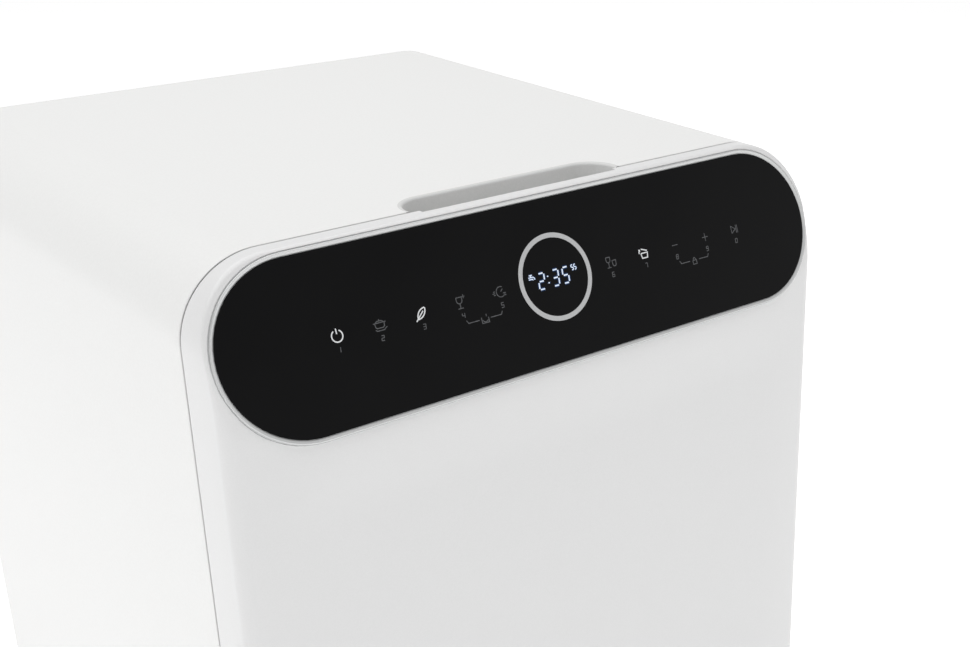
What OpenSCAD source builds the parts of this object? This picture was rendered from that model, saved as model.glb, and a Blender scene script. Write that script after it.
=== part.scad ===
// Countertop dishwasher, millimetres.
// Front towards -Y, +X to the right seen from the front, +Z up.
// Origin on the table under the middle of the machine. The door is shut at rest.

/* [Cabinet] */
// Width of the machine
cab_w = 420; // [400:1:460]
// Height of the machine on its feet
cab_h = 435; // [425:1:480]
// Depth of the cabinet, from the door seam to the rear panel
cab_d = 385; // [380:1:440]
// Radius of the two top corners
corner_r = 45; // [42:1:52]
// Thickness of the painted sheet wrap
shell_t = 1.2; // [0.8:0.1:2]
// Height of the feet
foot_h = 12; // [8:1:16]
// Diameter of a foot
foot_d = 32; // [24:1:40]
// Distance of a foot's axis from the cabinet edges
foot_inset = 34; // [28:1:60]
// Height of the base tray's walls
tray_h = 26; // [20:1:30]
// Thickness of the base tray
tray_t = 3; // [2:0.5:4]
// Thickness of the rear panel
rear_t = 2; // [1.5:0.5:3]
// How far the threaded inlet stands behind the rear panel
inlet_l = 14; // [12:1:20]

/* [Door] */
// Gap between the cabinet's front edge and the door
door_gap = 2; // [1:0.5:3]
// Distance of the door's flat front from the seam
door_t = 44; // [42:1:50]
// Height of the door's lower edge above the table
door_bottom = 42; // [40:1:50]
// Wall of the moulded door
door_wall = 2.5; // [2:0.5:3]
// Depth of the flat part of the door's sides
cheek_d = 31; // [26:1:34]
// Slope of the door's front beside its flat middle, in degrees
cheek_slope = 10; // [6:1:14]
// Radius where the sides meet the front
edge_r = 8.5; // [6:0.5:10]
// Height of the hinge axis above the door's lower edge
hinge_rise = 8; // [8:0.5:10]
// Distance of the hinge axis in front of the seam
hinge_out = 10; // [10:0.5:12]
// Diameter of a hinge pin
pin_d = 8; // [6:0.5:9]
// Radial running clearance of shafts in their bores
run_gap = 0.05; // [0.03:0.01:0.08]

/* [Control panel] */
// Distance of the glass ends from the door's sides
panel_inset = 5; // [4:0.5:12]
// Height of the black glass
panel_h = 94; // [84:1:96]
// Angle by which the glass leans back
panel_tilt = 20.6; // [19:0.1:22]
// Distance of the glass centre below the top of the door
panel_drop = 48.3; // [47:0.1:52]
// Distance of the glass centre in front of the seam
panel_u = 30; // [28:0.5:32]
// Thickness of the glass
glass_t = 3; // [2:0.5:4]
// Width of the bezel round the glass
bezel_w = 2.6; // [2:0.1:3]
// How far the bezel stands proud of the glass
bezel_proud = 0.4; // [0.2:0.1:0.8]
// Outer diameter of the ring round the display
ring_od = 51; // [44:1:56]
// Width of that ring
ring_w = 2.8; // [2:0.1:4]
// Sideways place of the ring
ring_x = 3; // [-4:0.5:4]
// Height of the ring above the glass centre
ring_s = 1.6; // [-3:0.1:3]

/* [Finger recess] */
// Width of the recess in the top of the cabinet
recess_w = 146; // [110:1:160]
// Depth of the recess behind the seam
recess_d = 21.5; // [18:0.5:26]
// How far down the recess goes
recess_h = 15; // [12:1:16]
// Radius of its rear corners
recess_r = 18; // [10:1:18]
// Depth of the groove in the door that faces the recess
groove_d = 3.2; // [2:0.2:4]

/* [Tub] */
// Space between the tub and each side of the cabinet
tub_side = 35; // [34:1:44]
// Space over the tub
tub_head = 51; // [50:1:64]
// Space between the tub's rear wall and the back of the cabinet
tub_rear = 55; // [52:1:64]
// Height of the tub floor above the table
tub_z = 84; // [84:1:88]
// Corner radius of the tub
tub_r = 26; // [16:1:32]
// Thickness of the tub sheet
tub_t = 1.5; // [1:0.5:2]
// Width of the flange round the tub mouth
flange_w = 8; // [6:0.5:10]
// Width of the door seal
seal_w = 7; // [5:0.5:9]

/* [Rack] */
// Gap between the rack and each side of the tub
rack_side = 16; // [15:0.5:24]
// Gap between the rack and the tub mouth
rack_front = 16; // [14:1:24]
// Gap between the rack and the tub's rear wall
rack_rear = 26; // [22:1:40]
// Height of the rack's upper rim above its floor
rack_h = 128; // [110:1:140]
// Height of the rack floor above the tub floor
rack_lift = 38; // [36:1:44]
// Diameter of the frame wires
wire_d = 5; // [4:0.5:5]
// Diameter of the thinner wires
tine_d = 3; // [2.5:0.5:3.5]
// Wires across the rack floor
floor_wires = 9; // [7:1:11]
// Number of plate tines in a row
tine_count = 7; // [5:1:9]

/* [Spray arms] */
// Length of the lower spray arm
lower_arm_l = 290; // [240:1:310]
// Length of the upper spray arm
upper_arm_l = 230; // [200:1:280]
// Width of a spray arm
arm_w = 26; // [20:1:32]
// Thickness of a spray arm
arm_t = 9; // [7:0.5:10]
// Radius of the pin that an arm turns on
arm_pin_r = 8; // [6:0.5:10]

/* [Rear fittings] */
// Outer diameter of the inlet thread
inlet_d = 26.44; // [20:0.01:28]
// Outer diameter of the drain spigot
drain_d = 20; // [16:0.5:24]
// Diameter of the hole in the cord gland
gland_bore = 7.4; // [6:0.1:10]

/* [Hidden] */
$fn = 64;

// Keeps two cuts from sharing a plane
eps = 0.01;
recess_t = 2;
groove_wall = 1.5;
sink = 0.5;
fit = 0.2;
play = 0.5;
slot_gap = 1.5;

// The front face of the bezel is the foremost point, the inlet thread the rearmost.
tilt_s = sin(panel_tilt);
tilt_c = cos(panel_tilt);
front_u = panel_u + (panel_h / 2 + bezel_w) * tilt_s + bezel_proud * tilt_c;
seam_y = (front_u - cab_d - inlet_l) / 2;
rear_y = seam_y + cab_d;
panel_z = cab_h - panel_drop;
chin_u = front_u - 0.6;
chin_run = 52;
chin_z = panel_z - (chin_u - panel_u) * tilt_c / tilt_s;
side_x = cab_w / 2 - shell_t;
shell_top = cab_h - shell_t;

// Sizes that follow the cabinet
panel_l = cab_w - 2 * panel_inset;
tub_w = cab_w - 2 * tub_side;
tub_h = cab_h - tub_z - tub_head;
tub_d = cab_d - tub_rear;
rack_w = tub_w - 2 * rack_side;
rack_d = tub_d - rack_front - rack_rear;

// Tub and its mouth
tray_top = foot_h + tray_t + tray_h;
rear_lip = 13;
screw_r = 1.75;
vent_x = 110 - cab_w / 2;
vent_z = 300;
vent_w = 90;
vent_h = 4;
vent_pitch = 9;
frame_t = 3;
frame_y = seam_y + 1;
tub_y = frame_y + frame_t;
tub_mid_y = tub_y + tub_d / 2;
tub_back = tub_y + tub_d + tub_t;
tub_top = tub_z + tub_h;
tub_mid_z = tub_z + tub_h / 2;

// Hinge
hinge_y = seam_y - hinge_out;
hinge_z = door_bottom + hinge_rise;
pin_r = pin_d / 2;
bracket_t = 3;
ear_t = 2.5;
ear_r = pin_r + 2.6;
hinge_x = tub_w / 2 + 15;
pin_l = bracket_t + 2 * (ear_t + 2 * play) + 2;
bracket_deep = 44;
arm_rise = 110;

// Latch and door opener, in the space over the tub mouth
latch_z = tub_top + flange_w + 12;
strike_w = 16;
strike_t = 3;
strike_l = 20;
strike_z = latch_z - 6;
hook_w = 8;
hook_arm = 19;
hook_t = 3;
hook_pivot_y = seam_y + 31;
hook_z = strike_z + 5.5;
latch_w = 30;
latch_d = 36;
latch_h = 19;
latch_y = tub_y + tub_t + 1;
pusher_x = 95;
pusher_r = 5;
pusher_l = 58;
actuator_w = 26;
actuator_d = 50;

// Spray arms
hub_r = 17;
lower_arm_z = tub_z + 16;
upper_arm_z = tub_top - 26;
riser_r = 8;
riser_x = 34;
riser_y = tub_back + 16;
riser_z = tub_top + tub_t + riser_r + 3;

// Sump and filter, off the middle so that the arm's hub stands clear
sump_x = tub_w / 2 - 79;
sump_y = tub_mid_y + 62;
sump_r = 46;
sump_floor = foot_h + tray_t + 12;
cup_r = 32;
cup_h = 36;
mesh_r = 50;
salt_x = 73 - tub_w / 2;
salt_y = tub_mid_y + 78;
salt_r = 24;

// Machinery under the tub
machine_z = foot_h + tray_t + 30;
pump_x = -8;
volute_r = 27;
volute_t = 26;
volute_y = sump_y - 8;
motor_r = 23;
motor_l = 70;
stub_z = machine_z - 4;
stub_r = 8;
outlet_off = 17;
hub_stub = 6;
heater_x = -40;
heater_l = 96;
heater_y = volute_y - volute_t / 2 - 14 - heater_l;
drain_x = sump_x + sump_r + 22;
float_x = tub_w / 2 - 45;
float_y = seam_y + 70;
float_r = 16;
float_h = 9;
float_post_r = 3;

// Rear fittings, with room in the panel for a hose nut or a hose's end
hose_room = 1.5;
inlet_x = cab_w / 2 - 60;
inlet_z = 74;
gland_x = 60 - cab_w / 2;
gland_z = 62;
drain_out_x = gland_x + 90;
drain_out_z = 70;
gland_r = 9;

box_x = 112;
box_z = 190;
box_w = 130;
box_d = 30;
box_h = 100;
box_y = rear_y - rear_t - box_d;

// Door parts
liner_u = door_gap + door_wall;
mouth_gap = 4;
skirt_d = 6;
bezel_gap = 0.5;
ledge_w = 5;
bezel_deep = glass_t + 3;
boss_r = 4;
thread_r = 1.5;
boss_end = cheek_d + edge_r - 0.5;
board_t = 1.6;
disp_w = 132;
disp_h = 96;
disp_z = tub_mid_z + 6;
disp_d = 28;
disp_r = 8;
cup_w = 62;
cup_tall = 66;
cup_x = -24;
rinse_x = 42;
rinse_r = 15;
lid_t = 2;
disp_plate = 1.5;
lid_y = seam_y - door_gap + disp_plate + play;

// Rack
rack_y = tub_y + rack_front;
rack_z = tub_z + rack_lift;
rack_mid_y = rack_y + rack_d / 2;
wire_r = wire_d / 2;
tine_r = tine_d / 2;
rack_mid_w = rack_w - wire_d;
rack_mid_d = rack_d - wire_d;
side_uprights = 4;
glide_w = 14;
glide_l = 26;
glide_h = 12;
glide_gap = 6.5;
glide_lift = -4.7;
tine_h = 55;
tine_pitch = 26;
tine_x = -rack_mid_w / 2 + 63;
rail_z = rack_z + 66;
rail_front = 30;
rail_rear = 50;
shelf_w = 60;
shelf_d = 190;
shelf_z = rack_z + rack_h - 22;
shelf_x = -rack_w / 2 + 14;
basket_w = 62;
basket_d = 150;
basket_h = 92;

// ---------- shapes ----------
// A rounded rectangle about the origin
module rrect(w, h, r) {
    square([w - 2 * r, h], center = true);
    square([w, h - 2 * r], center = true);
    for (i = [-1, 1], j = [-1, 1])
        translate([i * (w / 2 - r), j * (h / 2 - r)]) circle(r);
}

// The machine's front outline between two heights, inset by t, with rounded top corners
module outline(z0, t = 0) {
    w = cab_w - 2 * t;
    top = cab_h - t;
    r = corner_r - t;
    translate([-w / 2, z0]) square([w, top - r - z0]);
    translate([-w / 2 + r, z0]) square([w - 2 * r, top - z0]);
    for (i = [-1, 1]) translate([i * (w / 2 - r), top - r]) circle(r);
}

// A bar with round ends
module stadium(l, h) {
    square([l - h, h], center = true);
    for (i = [-1, 1]) translate([i * (l - h) / 2, 0]) circle(h / 2);
}

// Extrudes an outline drawn in X and Z, from y over a depth
module upright(y, depth) {
    translate([0, y + depth, 0]) rotate([90, 0, 0]) linear_extrude(depth) children();
}

// Extrudes an outline drawn in Y and Z, from x over a width
module sideways(x, w) {
    translate([x, 0, 0]) rotate([90, 0, 90]) linear_extrude(w) children();
}

// A round bar along X, or along Y
module rod_x(x, y, z, r, l) {
    translate([x, y, z]) rotate([0, 90, 0]) cylinder(r = r, h = l);
}
module rod_y(x, y, z, r, l) {
    translate([x, y, z]) rotate([-90, 0, 0]) cylinder(r = r, h = l);
}

// A box given by its middle in X and its corner in Y and Z
module block(x, y, z, w, d, h) {
    translate([x - w / 2, y, z]) cube([w, d, h]);
}

// Local X and Y lie in the face of the glass, and Z points out of it
module on_panel() {
    translate([0, seam_y - panel_u, panel_z]) rotate([90 - panel_tilt, 0, 0]) children();
}

module tub_mouth(grow = 0) {
    translate([0, tub_mid_z]) rrect(tub_w + 2 * grow, tub_h + 2 * grow, tub_r + grow);
}

// ---------- cabinet ----------
module recess_plan(grow = 0) {
    w = recess_w + 2 * grow;
    d = recess_d + grow;
    intersection() {
        translate([0, seam_y]) rrect(w, 2 * d, recess_r + grow);
        translate([-w / 2, seam_y]) square([w, d]);
    }
}

module outer_shell() {
    color("white") difference() {
        union() {
            upright(seam_y, cab_d) difference() {
                outline(foot_h);
                outline(foot_h - 1, shell_t);
            }
            upright(rear_y - rear_t - shell_t, shell_t) difference() {
                outline(tray_top + play, shell_t / 2);
                outline(tray_top, shell_t + rear_lip);
            }
        }
        translate([0, 0, cab_h - corner_r]) linear_extrude(corner_r + 1) recess_plan(recess_t);
        rear_screw_places() rod_y(0, rear_y - rear_t - 5, 0, screw_r + fit / 2, 10);
    }
}

module finger_recess() {
    color("lightgray") difference() {
        translate([0, 0, cab_h - recess_h - recess_t])
            linear_extrude(recess_h + recess_t) recess_plan(recess_t);
        for (shift = [0, -1])
            translate([0, shift, cab_h - recess_h]) linear_extrude(recess_h + 1) recess_plan();
    }
}

module front_frame() {
    lip = 9;
    color("whitesmoke") difference() {
        union() {
            upright(frame_y, frame_t) difference() {
                outline(tray_top, shell_t);
                tub_mouth();
            }
            upright(tub_y, lip) difference() {
                outline(tray_top, shell_t);
                outline(tray_top - 1, shell_t + 2);
            }
        }
        translate([0, 0, cab_h - recess_h - recess_t - fit])
            linear_extrude(recess_h + corner_r) recess_plan(recess_t + fit);
        block(0, frame_y - 1, strike_z - 3, strike_w + 6, frame_t + 2, strike_t + 7);
        rod_y(pusher_x, frame_y - 1, strike_z + 3, pusher_r + play, frame_t + 2);
        for (i = [-1, 1])
            block(i * hinge_x, frame_y - 1, hinge_z - ear_r - slot_gap,
                bracket_t + 2 * fit, frame_t + 2, 2 * (ear_r + slot_gap));
    }
}

module base_tray() {
    w = 2 * side_x;
    d = cab_d - rear_t - 1;
    color("gainsboro") {
        difference() {
            block(0, frame_y, foot_h, w, d, tray_h + tray_t);
            block(0, frame_y + tray_t, foot_h + tray_t, w - 2 * tray_t, d - 2 * tray_t, tray_h + 1);
            for (i = [-1, 1])
                block(i * hinge_x, frame_y - 1, hinge_z - ear_r - slot_gap,
                    bracket_t + 2 * fit, tray_t + 2, tray_h);
        }
        translate([float_x, float_y, foot_h + tray_t - sink])
            cylinder(r = float_post_r, h = float_h + 14 + sink);
    }
}

module rear_panel() {
    slots = 7;
    color("lightgray") difference() {
        upright(rear_y - rear_t, rear_t) outline(foot_h, shell_t);
        rod_y(inlet_x, rear_y - rear_t - 1, inlet_z, inlet_d / 2 + hose_room, rear_t + 2);
        rod_y(drain_out_x, rear_y - rear_t - 1, drain_out_z, drain_d / 2 + hose_room, rear_t + 2);
        rod_y(gland_x, rear_y - rear_t - 1, gland_z, gland_r, rear_t + 2);
        rear_screw_places() rod_y(0, rear_y - rear_t - 1, 0, screw_r + fit / 2, rear_t + 2);
        for (k = [0 : slots - 1])
            block(vent_x, rear_y - rear_t - 1, vent_z + vent_pitch * k, vent_w, rear_t + 2, vent_h);
    }
}

// The eight places of the screws that hold the rear panel to the shell's lip
module rear_screw_places() {
    for (i = [-1, 1], k = [0 : 3])
        translate([i * (side_x - rear_lip / 2), 0,
            tray_top + 16 + k * (cab_h - corner_r - tray_top - 16) / 3])
            children();
}

module feet() {
    for (i = [-1, 1], y = [seam_y + foot_inset, rear_y - foot_inset])
        translate([i * (cab_w / 2 - foot_inset), y, 0])
            color("dimgray") rotate_extrude()
                polygon([[0, 0], [foot_d / 2 - 2, 0], [foot_d / 2, 2], [foot_d / 2 - 3, foot_h],
                    [0, foot_h]]);
}

// ---------- tub ----------
module tub() {
    color("silver") difference() {
        union() {
            upright(tub_y, tub_d + tub_t) tub_mouth(tub_t);
            upright(tub_y, tub_t) tub_mouth(flange_w);
        }
        upright(tub_y - 1, tub_d + 1) tub_mouth();
        translate([sump_x, sump_y, tub_z - 5]) cylinder(r = sump_r - 3, h = 10);
        translate([0, tub_mid_y, tub_z - 5]) cylinder(r = hub_r + fit, h = 10);
        translate([salt_x, salt_y, tub_z - 5]) cylinder(r = salt_r - 2 + fit, h = 10);
        translate([0, tub_mid_y, tub_top - 5]) cylinder(r = riser_r + fit, h = 10);
    }
}

module tub_gasket() {
    color("dimgray") upright(seam_y - door_gap + play, door_gap - play + frame_y - seam_y)
        difference() {
            tub_mouth(seal_w);
            tub_mouth(0.5);
        }
}

module tub_rails() {
    rail_t = 3;
    rail_h = 18;
    tread_w = 12;
    tread_t = 4;
    rail_l = tub_d - rail_front - rail_rear;
    for (i = [-1, 1]) color("lightgray") {
        x = i * tub_w / 2;
        block(x - i * tread_w / 2, tub_y + rail_front, rail_z - rail_h / 2, tread_w, rail_l, tread_t);
        block(x - i * rail_t / 2, tub_y + rail_front, rail_z - rail_h / 2, rail_t, rail_l, rail_h);
    }
}

module sound_pads() {
    pad_t = 2;
    pad_front = 150;
    pad_rear = 30;
    pad_low = 50;
    pad_high = 60;
    top_w = 130;
    top_gap = 50;
    top_rear = 40;
    color("darkslategray") for (i = [-1, 1]) {
        block(i * (tub_w / 2 + tub_t + pad_t / 2), tub_y + pad_front, tub_z + pad_low, pad_t,
            tub_d - pad_front - pad_rear, tub_h - pad_low - pad_high);
        block(i * (top_w + top_gap) / 2, tub_y + pad_front - top_w / 2, tub_top + tub_t, top_w,
            tub_d - pad_front + top_w / 2 - top_rear, pad_t);
    }
}

module sump() {
    wall = 2.5;
    color("darkgray") difference() {
        union() {
            translate([sump_x, sump_y, sump_floor]) cylinder(r = sump_r, h = tub_z - tub_t - sump_floor);
            rod_x(pump_x + volute_r - 1, volute_y, stub_z, stub_r, sump_x - sump_r - pump_x - volute_r + 4);
        }
        translate([sump_x, sump_y, sump_floor + wall])
            cylinder(r = sump_r - wall, h = tub_z - sump_floor);
        rod_x(pump_x + volute_r - 2, volute_y, stub_z, stub_r - wall, sump_x - sump_r - pump_x);
    }
}

module filter_plate() {
    color("lightgray") translate([sump_x, sump_y, tub_z]) difference() {
        cylinder(r = mesh_r, h = 1.2);
        translate([0, 0, -1]) cylinder(r = cup_r + play, h = 4);
    }
}

module filter_cup() {
    wall = 1.6;
    color("slategray") translate([sump_x, sump_y, tub_z + 1.2 + 6 - cup_h]) {
        difference() {
            cylinder(r = cup_r, h = cup_h);
            translate([0, 0, wall]) cylinder(r = cup_r - wall, h = cup_h);
        }
        block(0, -3, cup_h - 10, 2 * cup_r - wall, 6, 10);
    }
}

// ---------- machinery ----------
module wash_pump() {
    color("gray") difference() {
        union() {
            rod_y(pump_x, volute_y - volute_t / 2, machine_z, volute_r, volute_t);
            rod_y(pump_x, volute_y + volute_t / 2 - sink, machine_z, motor_r, motor_l);
        }
        rod_x(pump_x, volute_y, stub_z, stub_r + fit, volute_r + 1);
        rod_y(pump_x - outlet_off, volute_y - volute_t / 2 - 1, machine_z, stub_r - 2, volute_t / 2);
    }
}

module drain_pump() {
    body_r = 18;
    body_l = 60;
    body_y = sump_y - body_l / 3;
    cap_r = 14;
    cap_l = 24;
    color("gray") {
        rod_y(drain_x, body_y, machine_z, body_r, body_l);
        rod_y(drain_x, body_y - cap_l, machine_z, cap_r, cap_l + sink);
        rod_x(sump_x + sump_r, sump_y, stub_z, stub_r - 1, drain_x - sump_x - sump_r);
    }
}

module heater() {
    tube_r = 19;
    band_l = 8;
    color("silver") {
        rod_y(heater_x, heater_y, machine_z, tube_r, heater_l);
        for (y = [heater_y, heater_y + heater_l - band_l])
            rod_y(heater_x, y, machine_z, tube_r + 2, band_l);
    }
}

// A pipe through points in a row, round at each bend
module pipe_run(points, r) {
    for (k = [0 : len(points) - 2]) {
        a = points[k];
        d = points[k + 1] - a;
        turn = abs(d[0]) > 0 ? [0, 90, 0] : abs(d[1]) > 0 ? [-90, 0, 0] : [0, 0, 0];
        start = d[0] + d[1] + d[2] > 0 ? a : points[k + 1];
        translate(start) rotate(turn) cylinder(r = r, h = norm(d));
        if (k > 0) translate(a) sphere(r = r);
    }
}

module delivery_pipe() {
    color("darkgray") {
        pipe_run([[pump_x - outlet_off, volute_y - volute_t / 2, machine_z],
            [pump_x - outlet_off, heater_y + heater_l, machine_z]], stub_r);
        pipe_run([[heater_x, heater_y, machine_z], [heater_x, heater_y - 20, machine_z],
            [0, heater_y - 20, machine_z], [0, tub_mid_y - hub_r - hub_stub, machine_z]], stub_r);
    }
}

module riser_pipe() {
    low_z = tub_z - tub_t - riser_r - 1;
    color("darkgray") pipe_run([[hub_r + hub_stub, tub_mid_y, low_z], [riser_x, tub_mid_y, low_z],
        [riser_x, riser_y, low_z], [riser_x, riser_y, riser_z], [riser_x, tub_mid_y, riser_z],
        [0, tub_mid_y, riser_z], [0, tub_mid_y, tub_top]], riser_r);
}

module lower_hub() {
    neck_z = lower_arm_z - 3;
    color("gray") translate([0, tub_mid_y, 0]) {
        translate([0, 0, machine_z - 10]) cylinder(r = hub_r, h = neck_z - machine_z + 10);
        rod_y(0, -hub_r - hub_stub, machine_z, stub_r, hub_r);
        rod_x(0, 0, tub_z - tub_t - riser_r - 1, riser_r, hub_r + hub_stub);
        translate([0, 0, neck_z - sink]) cylinder(r = arm_pin_r, h = 3 + arm_t + 1 + sink);
        translate([0, 0, neck_z + 3 + arm_t + play]) cylinder(r = arm_pin_r + 2, h = 3);
    }
}

// A spray arm about the origin, its bore along Z
module spray_arm(l, side) {
    nozzles = 5;
    difference() {
        union() {
            linear_extrude(arm_t) stadium(l, arm_w);
            cylinder(r = hub_r + 2, h = arm_t);
        }
        translate([0, 0, -1]) cylinder(r = arm_pin_r + run_gap, h = arm_t + 2);
        for (i = [-1, 1], k = [1 : nozzles])
            translate([i * (hub_r + k * (l / 2 - hub_r) / (nozzles + 0.6)), i * arm_w / 6,
                side > 0 ? arm_t - 2 : -1])
                cylinder(r = 1.6, h = 3);
    }
}

module lower_spray_arm() {
    color("whitesmoke") translate([0, tub_mid_y, lower_arm_z]) spray_arm(lower_arm_l, 1);
}

module upper_hub() {
    base_h = tub_top - upper_arm_z - arm_t - 1;
    color("gray") translate([0, tub_mid_y, 0]) {
        translate([0, 0, tub_top - base_h]) cylinder(r = hub_r, h = base_h);
        translate([0, 0, upper_arm_z - 1]) cylinder(r = arm_pin_r, h = arm_t + 3);
        translate([0, 0, upper_arm_z - play - 3]) cylinder(r = arm_pin_r + 2, h = 3);
    }
}

module upper_spray_arm() {
    color("whitesmoke") translate([0, tub_mid_y, upper_arm_z]) spray_arm(upper_arm_l, -1);
}

module softener_tank() {
    w = 76;
    d = 92;
    body_top = tub_z - tub_t - 8;
    color("gainsboro") {
        block(salt_x, salt_y - d / 2 + 8, foot_h + tray_t, w, d, body_top - foot_h - tray_t);
        translate([salt_x, salt_y, body_top - sink])
            cylinder(r = salt_r - 2, h = tub_z - body_top + 2 + sink);
    }
}

module salt_cap() {
    cap_t = 7;
    grip_l = 40;
    grip_w = 6;
    grip_h = 4;
    color("slategray") translate([salt_x, salt_y, tub_z + 2]) {
        cylinder(r = salt_r, h = cap_t);
        block(0, -grip_w / 2, cap_t - sink, grip_l, grip_w, grip_h + sink);
    }
}

module air_break() {
    gap = side_x - tub_w / 2 - tub_t;
    low = 20;
    high = 30;
    front = 100;
    depth = 130;
    color("gainsboro")
        block(-tub_w / 2 - tub_t - gap / 2, tub_y + front, tub_z + low, gap / 2, depth, tub_h - low - high);
}

module inlet_valve() {
    bore = 16;
    body_w = 40;
    body_d = 34;
    body_h = 44;
    color("whitesmoke") difference() {
        union() {
            block(inlet_x, rear_y - rear_t - body_d, inlet_z - body_h / 2, body_w, body_d, body_h);
            rod_y(inlet_x, rear_y - rear_t - 1, inlet_z, inlet_d / 2, inlet_l + rear_t + 1);
        }
        rod_y(inlet_x, rear_y - 10, inlet_z, bore / 2, inlet_l + 11);
    }
}

module drain_spigot() {
    wall = 3;
    reach = inlet_l - 2;
    inside = 26;
    flange_r = drain_d / 2 + 6;
    flange_t = 4;
    color("gray") difference() {
        union() {
            rod_y(drain_out_x, rear_y - rear_t - inside, drain_out_z, drain_d / 2, reach + rear_t + inside);
            rod_y(drain_out_x, rear_y - rear_t - flange_t, drain_out_z, flange_r, flange_t);
        }
        rod_y(drain_out_x, rear_y - rear_t - inside - 1, drain_out_z, drain_d / 2 - wall,
            reach + rear_t + inside + 2);
    }
}

module cord_gland() {
    reach = 8;
    flange = 4;
    color("dimgray") difference() {
        union() {
            rod_y(gland_x, rear_y - rear_t - reach, gland_z, gland_r, reach + rear_t);
            rod_y(gland_x, rear_y, gland_z, gland_r + 3, flange);
            rod_y(gland_x, rear_y - rear_t - flange, gland_z, gland_r + 2, flange);
        }
        rod_y(gland_x, rear_y - rear_t - reach - 1, gland_z, gland_bore / 2, reach + rear_t + flange + 2);
    }
}

module board_box() {
    wall = 2;
    color("whitesmoke") difference() {
        block(box_x, box_y, box_z, box_w, box_d, box_h);
        block(box_x, box_y + wall, box_z + wall, box_w - 2 * wall, box_d - wall + 1, box_h - 2 * wall);
    }
}

module main_board() {
    edge = 4;
    front = box_y + 10;
    relay_w = 20;
    relay_d = 12;
    relay_h = 24;
    color("darkgreen") block(box_x, front, box_z + edge, box_w - 2 * edge, board_t, box_h - 2 * edge);
    color("black") for (i = [-1, 0, 1])
        block(box_x + 1.7 * relay_w * i, front + board_t, box_z + relay_h + 6, relay_w, relay_d, relay_h);
}

// ---------- latch and opener ----------
module latch_housing() {
    wall = 2.5;
    z = strike_z - 4;
    color("whitesmoke") difference() {
        block(0, latch_y, z, latch_w, latch_d, latch_h);
        block(0, latch_y - 1, z + wall, latch_w - 2 * wall, latch_d - wall + 1, latch_h - 2 * wall);
    }
    color("silver") rod_x(-latch_w / 2 + 1, hook_pivot_y, hook_z + 1.5, 2, latch_w - 2);
}

module latch_hook() {
    nose_y = hook_pivot_y - hook_arm;
    color("gray") difference() {
        union() {
            block(0, nose_y, hook_z, hook_w, hook_arm, hook_t);
            block(0, nose_y, hook_z - 3, hook_w, hook_t, 3 + sink);
            rod_x(-hook_w / 2, hook_pivot_y, hook_z + 1.5, 4.5, hook_w);
        }
        rod_x(-hook_w, hook_pivot_y, hook_z + 1.5, 2 + run_gap, 2 * hook_w);
    }
}

module door_switch() {
    body_w = 16;
    color("black") block((latch_w + body_w) / 2 + 1, latch_y, strike_z - 3, body_w, 22, 14);
}

module actuator_box() {
    color("whitesmoke") difference() {
        block(pusher_x, latch_y, strike_z - 6, actuator_w, actuator_d, 18);
        rod_y(pusher_x, latch_y - 1, strike_z + 3, pusher_r + 0.3, actuator_d - 1);
    }
}

module door_pusher() {
    color("gray") rod_y(pusher_x, seam_y - door_gap + play, strike_z + 3, pusher_r,
        latch_y + actuator_d - 4 - seam_y + door_gap - play);
}

// ---------- hinge ----------
module hinge_brackets() {
    color("silver") for (i = [-1, 1]) difference() {
        union() {
            rod_x(i * hinge_x - bracket_t / 2, hinge_y, hinge_z, ear_r, bracket_t);
            block(i * hinge_x, hinge_y, hinge_z - ear_r, bracket_t, hinge_out + bracket_deep, 2 * ear_r);
            block(i * hinge_x, frame_y + tray_t + 1, foot_h + tray_t, bracket_t, bracket_deep - 5,
                hinge_z - foot_h - tray_t);
        }
        rod_x(i * hinge_x - bracket_t, hinge_y, hinge_z, pin_r, 2 * bracket_t);
    }
}

module hinge_pins() {
    color("silver") for (i = [-1, 1])
        rod_x(i * hinge_x - pin_l / 2, hinge_y, hinge_z, pin_r, pin_l);
}

// The slots in the door that let it turn round the fixed brackets
module hinge_slots() {
    w = bracket_t + 2 * (ear_t + 2 * play) + 4;
    for (i = [-1, 1])
        block(i * hinge_x, seam_y - hinge_out - ear_r - slot_gap, door_bottom - 1, w,
            hinge_out + ear_r + slot_gap + 1, hinge_rise + ear_r + slot_gap + 1);
}

module hinge_arms() {
    strap_y = seam_y - liner_u - 3;
    color("silver") for (i = [-1, 1], j = [-1, 1]) {
        x = i * hinge_x + j * (bracket_t / 2 + play + ear_t / 2);
        difference() {
            union() {
                rod_x(x - ear_t / 2, hinge_y, hinge_z, ear_r, ear_t);
                block(x, seam_y - liner_u - 8, hinge_z, ear_t, 8, arm_rise);
            }
            rod_x(x - ear_t, hinge_y, hinge_z, pin_r + run_gap, 2 * ear_t);
        }
    }
    color("silver") for (i = [-1, 1])
        block(i * hinge_x, strap_y, hinge_z + 30, bracket_t + 2 * play + 2 * ear_t, 3, arm_rise - 30);
}

module leak_float() {
    color("white") translate([float_x, float_y, foot_h + tray_t]) difference() {
        cylinder(r = float_r, h = float_h);
        translate([0, 0, -1]) cylinder(r = float_post_r + run_gap, h = float_h + 2);
    }
}

module rear_screws() {
    color("silver") rear_screw_places() {
        rod_y(0, rear_y - rear_t - 6, 0, screw_r, 6 + rear_t + sink);
        rod_y(0, rear_y, 0, 2 * screw_r, 1.8);
    }
}

// ---------- door ----------
// Place on the leaning upper face, at a distance n outside the glass
function face_u(z, n) = panel_u + (n - (z - panel_z) * tilt_s) / tilt_c;

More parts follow.
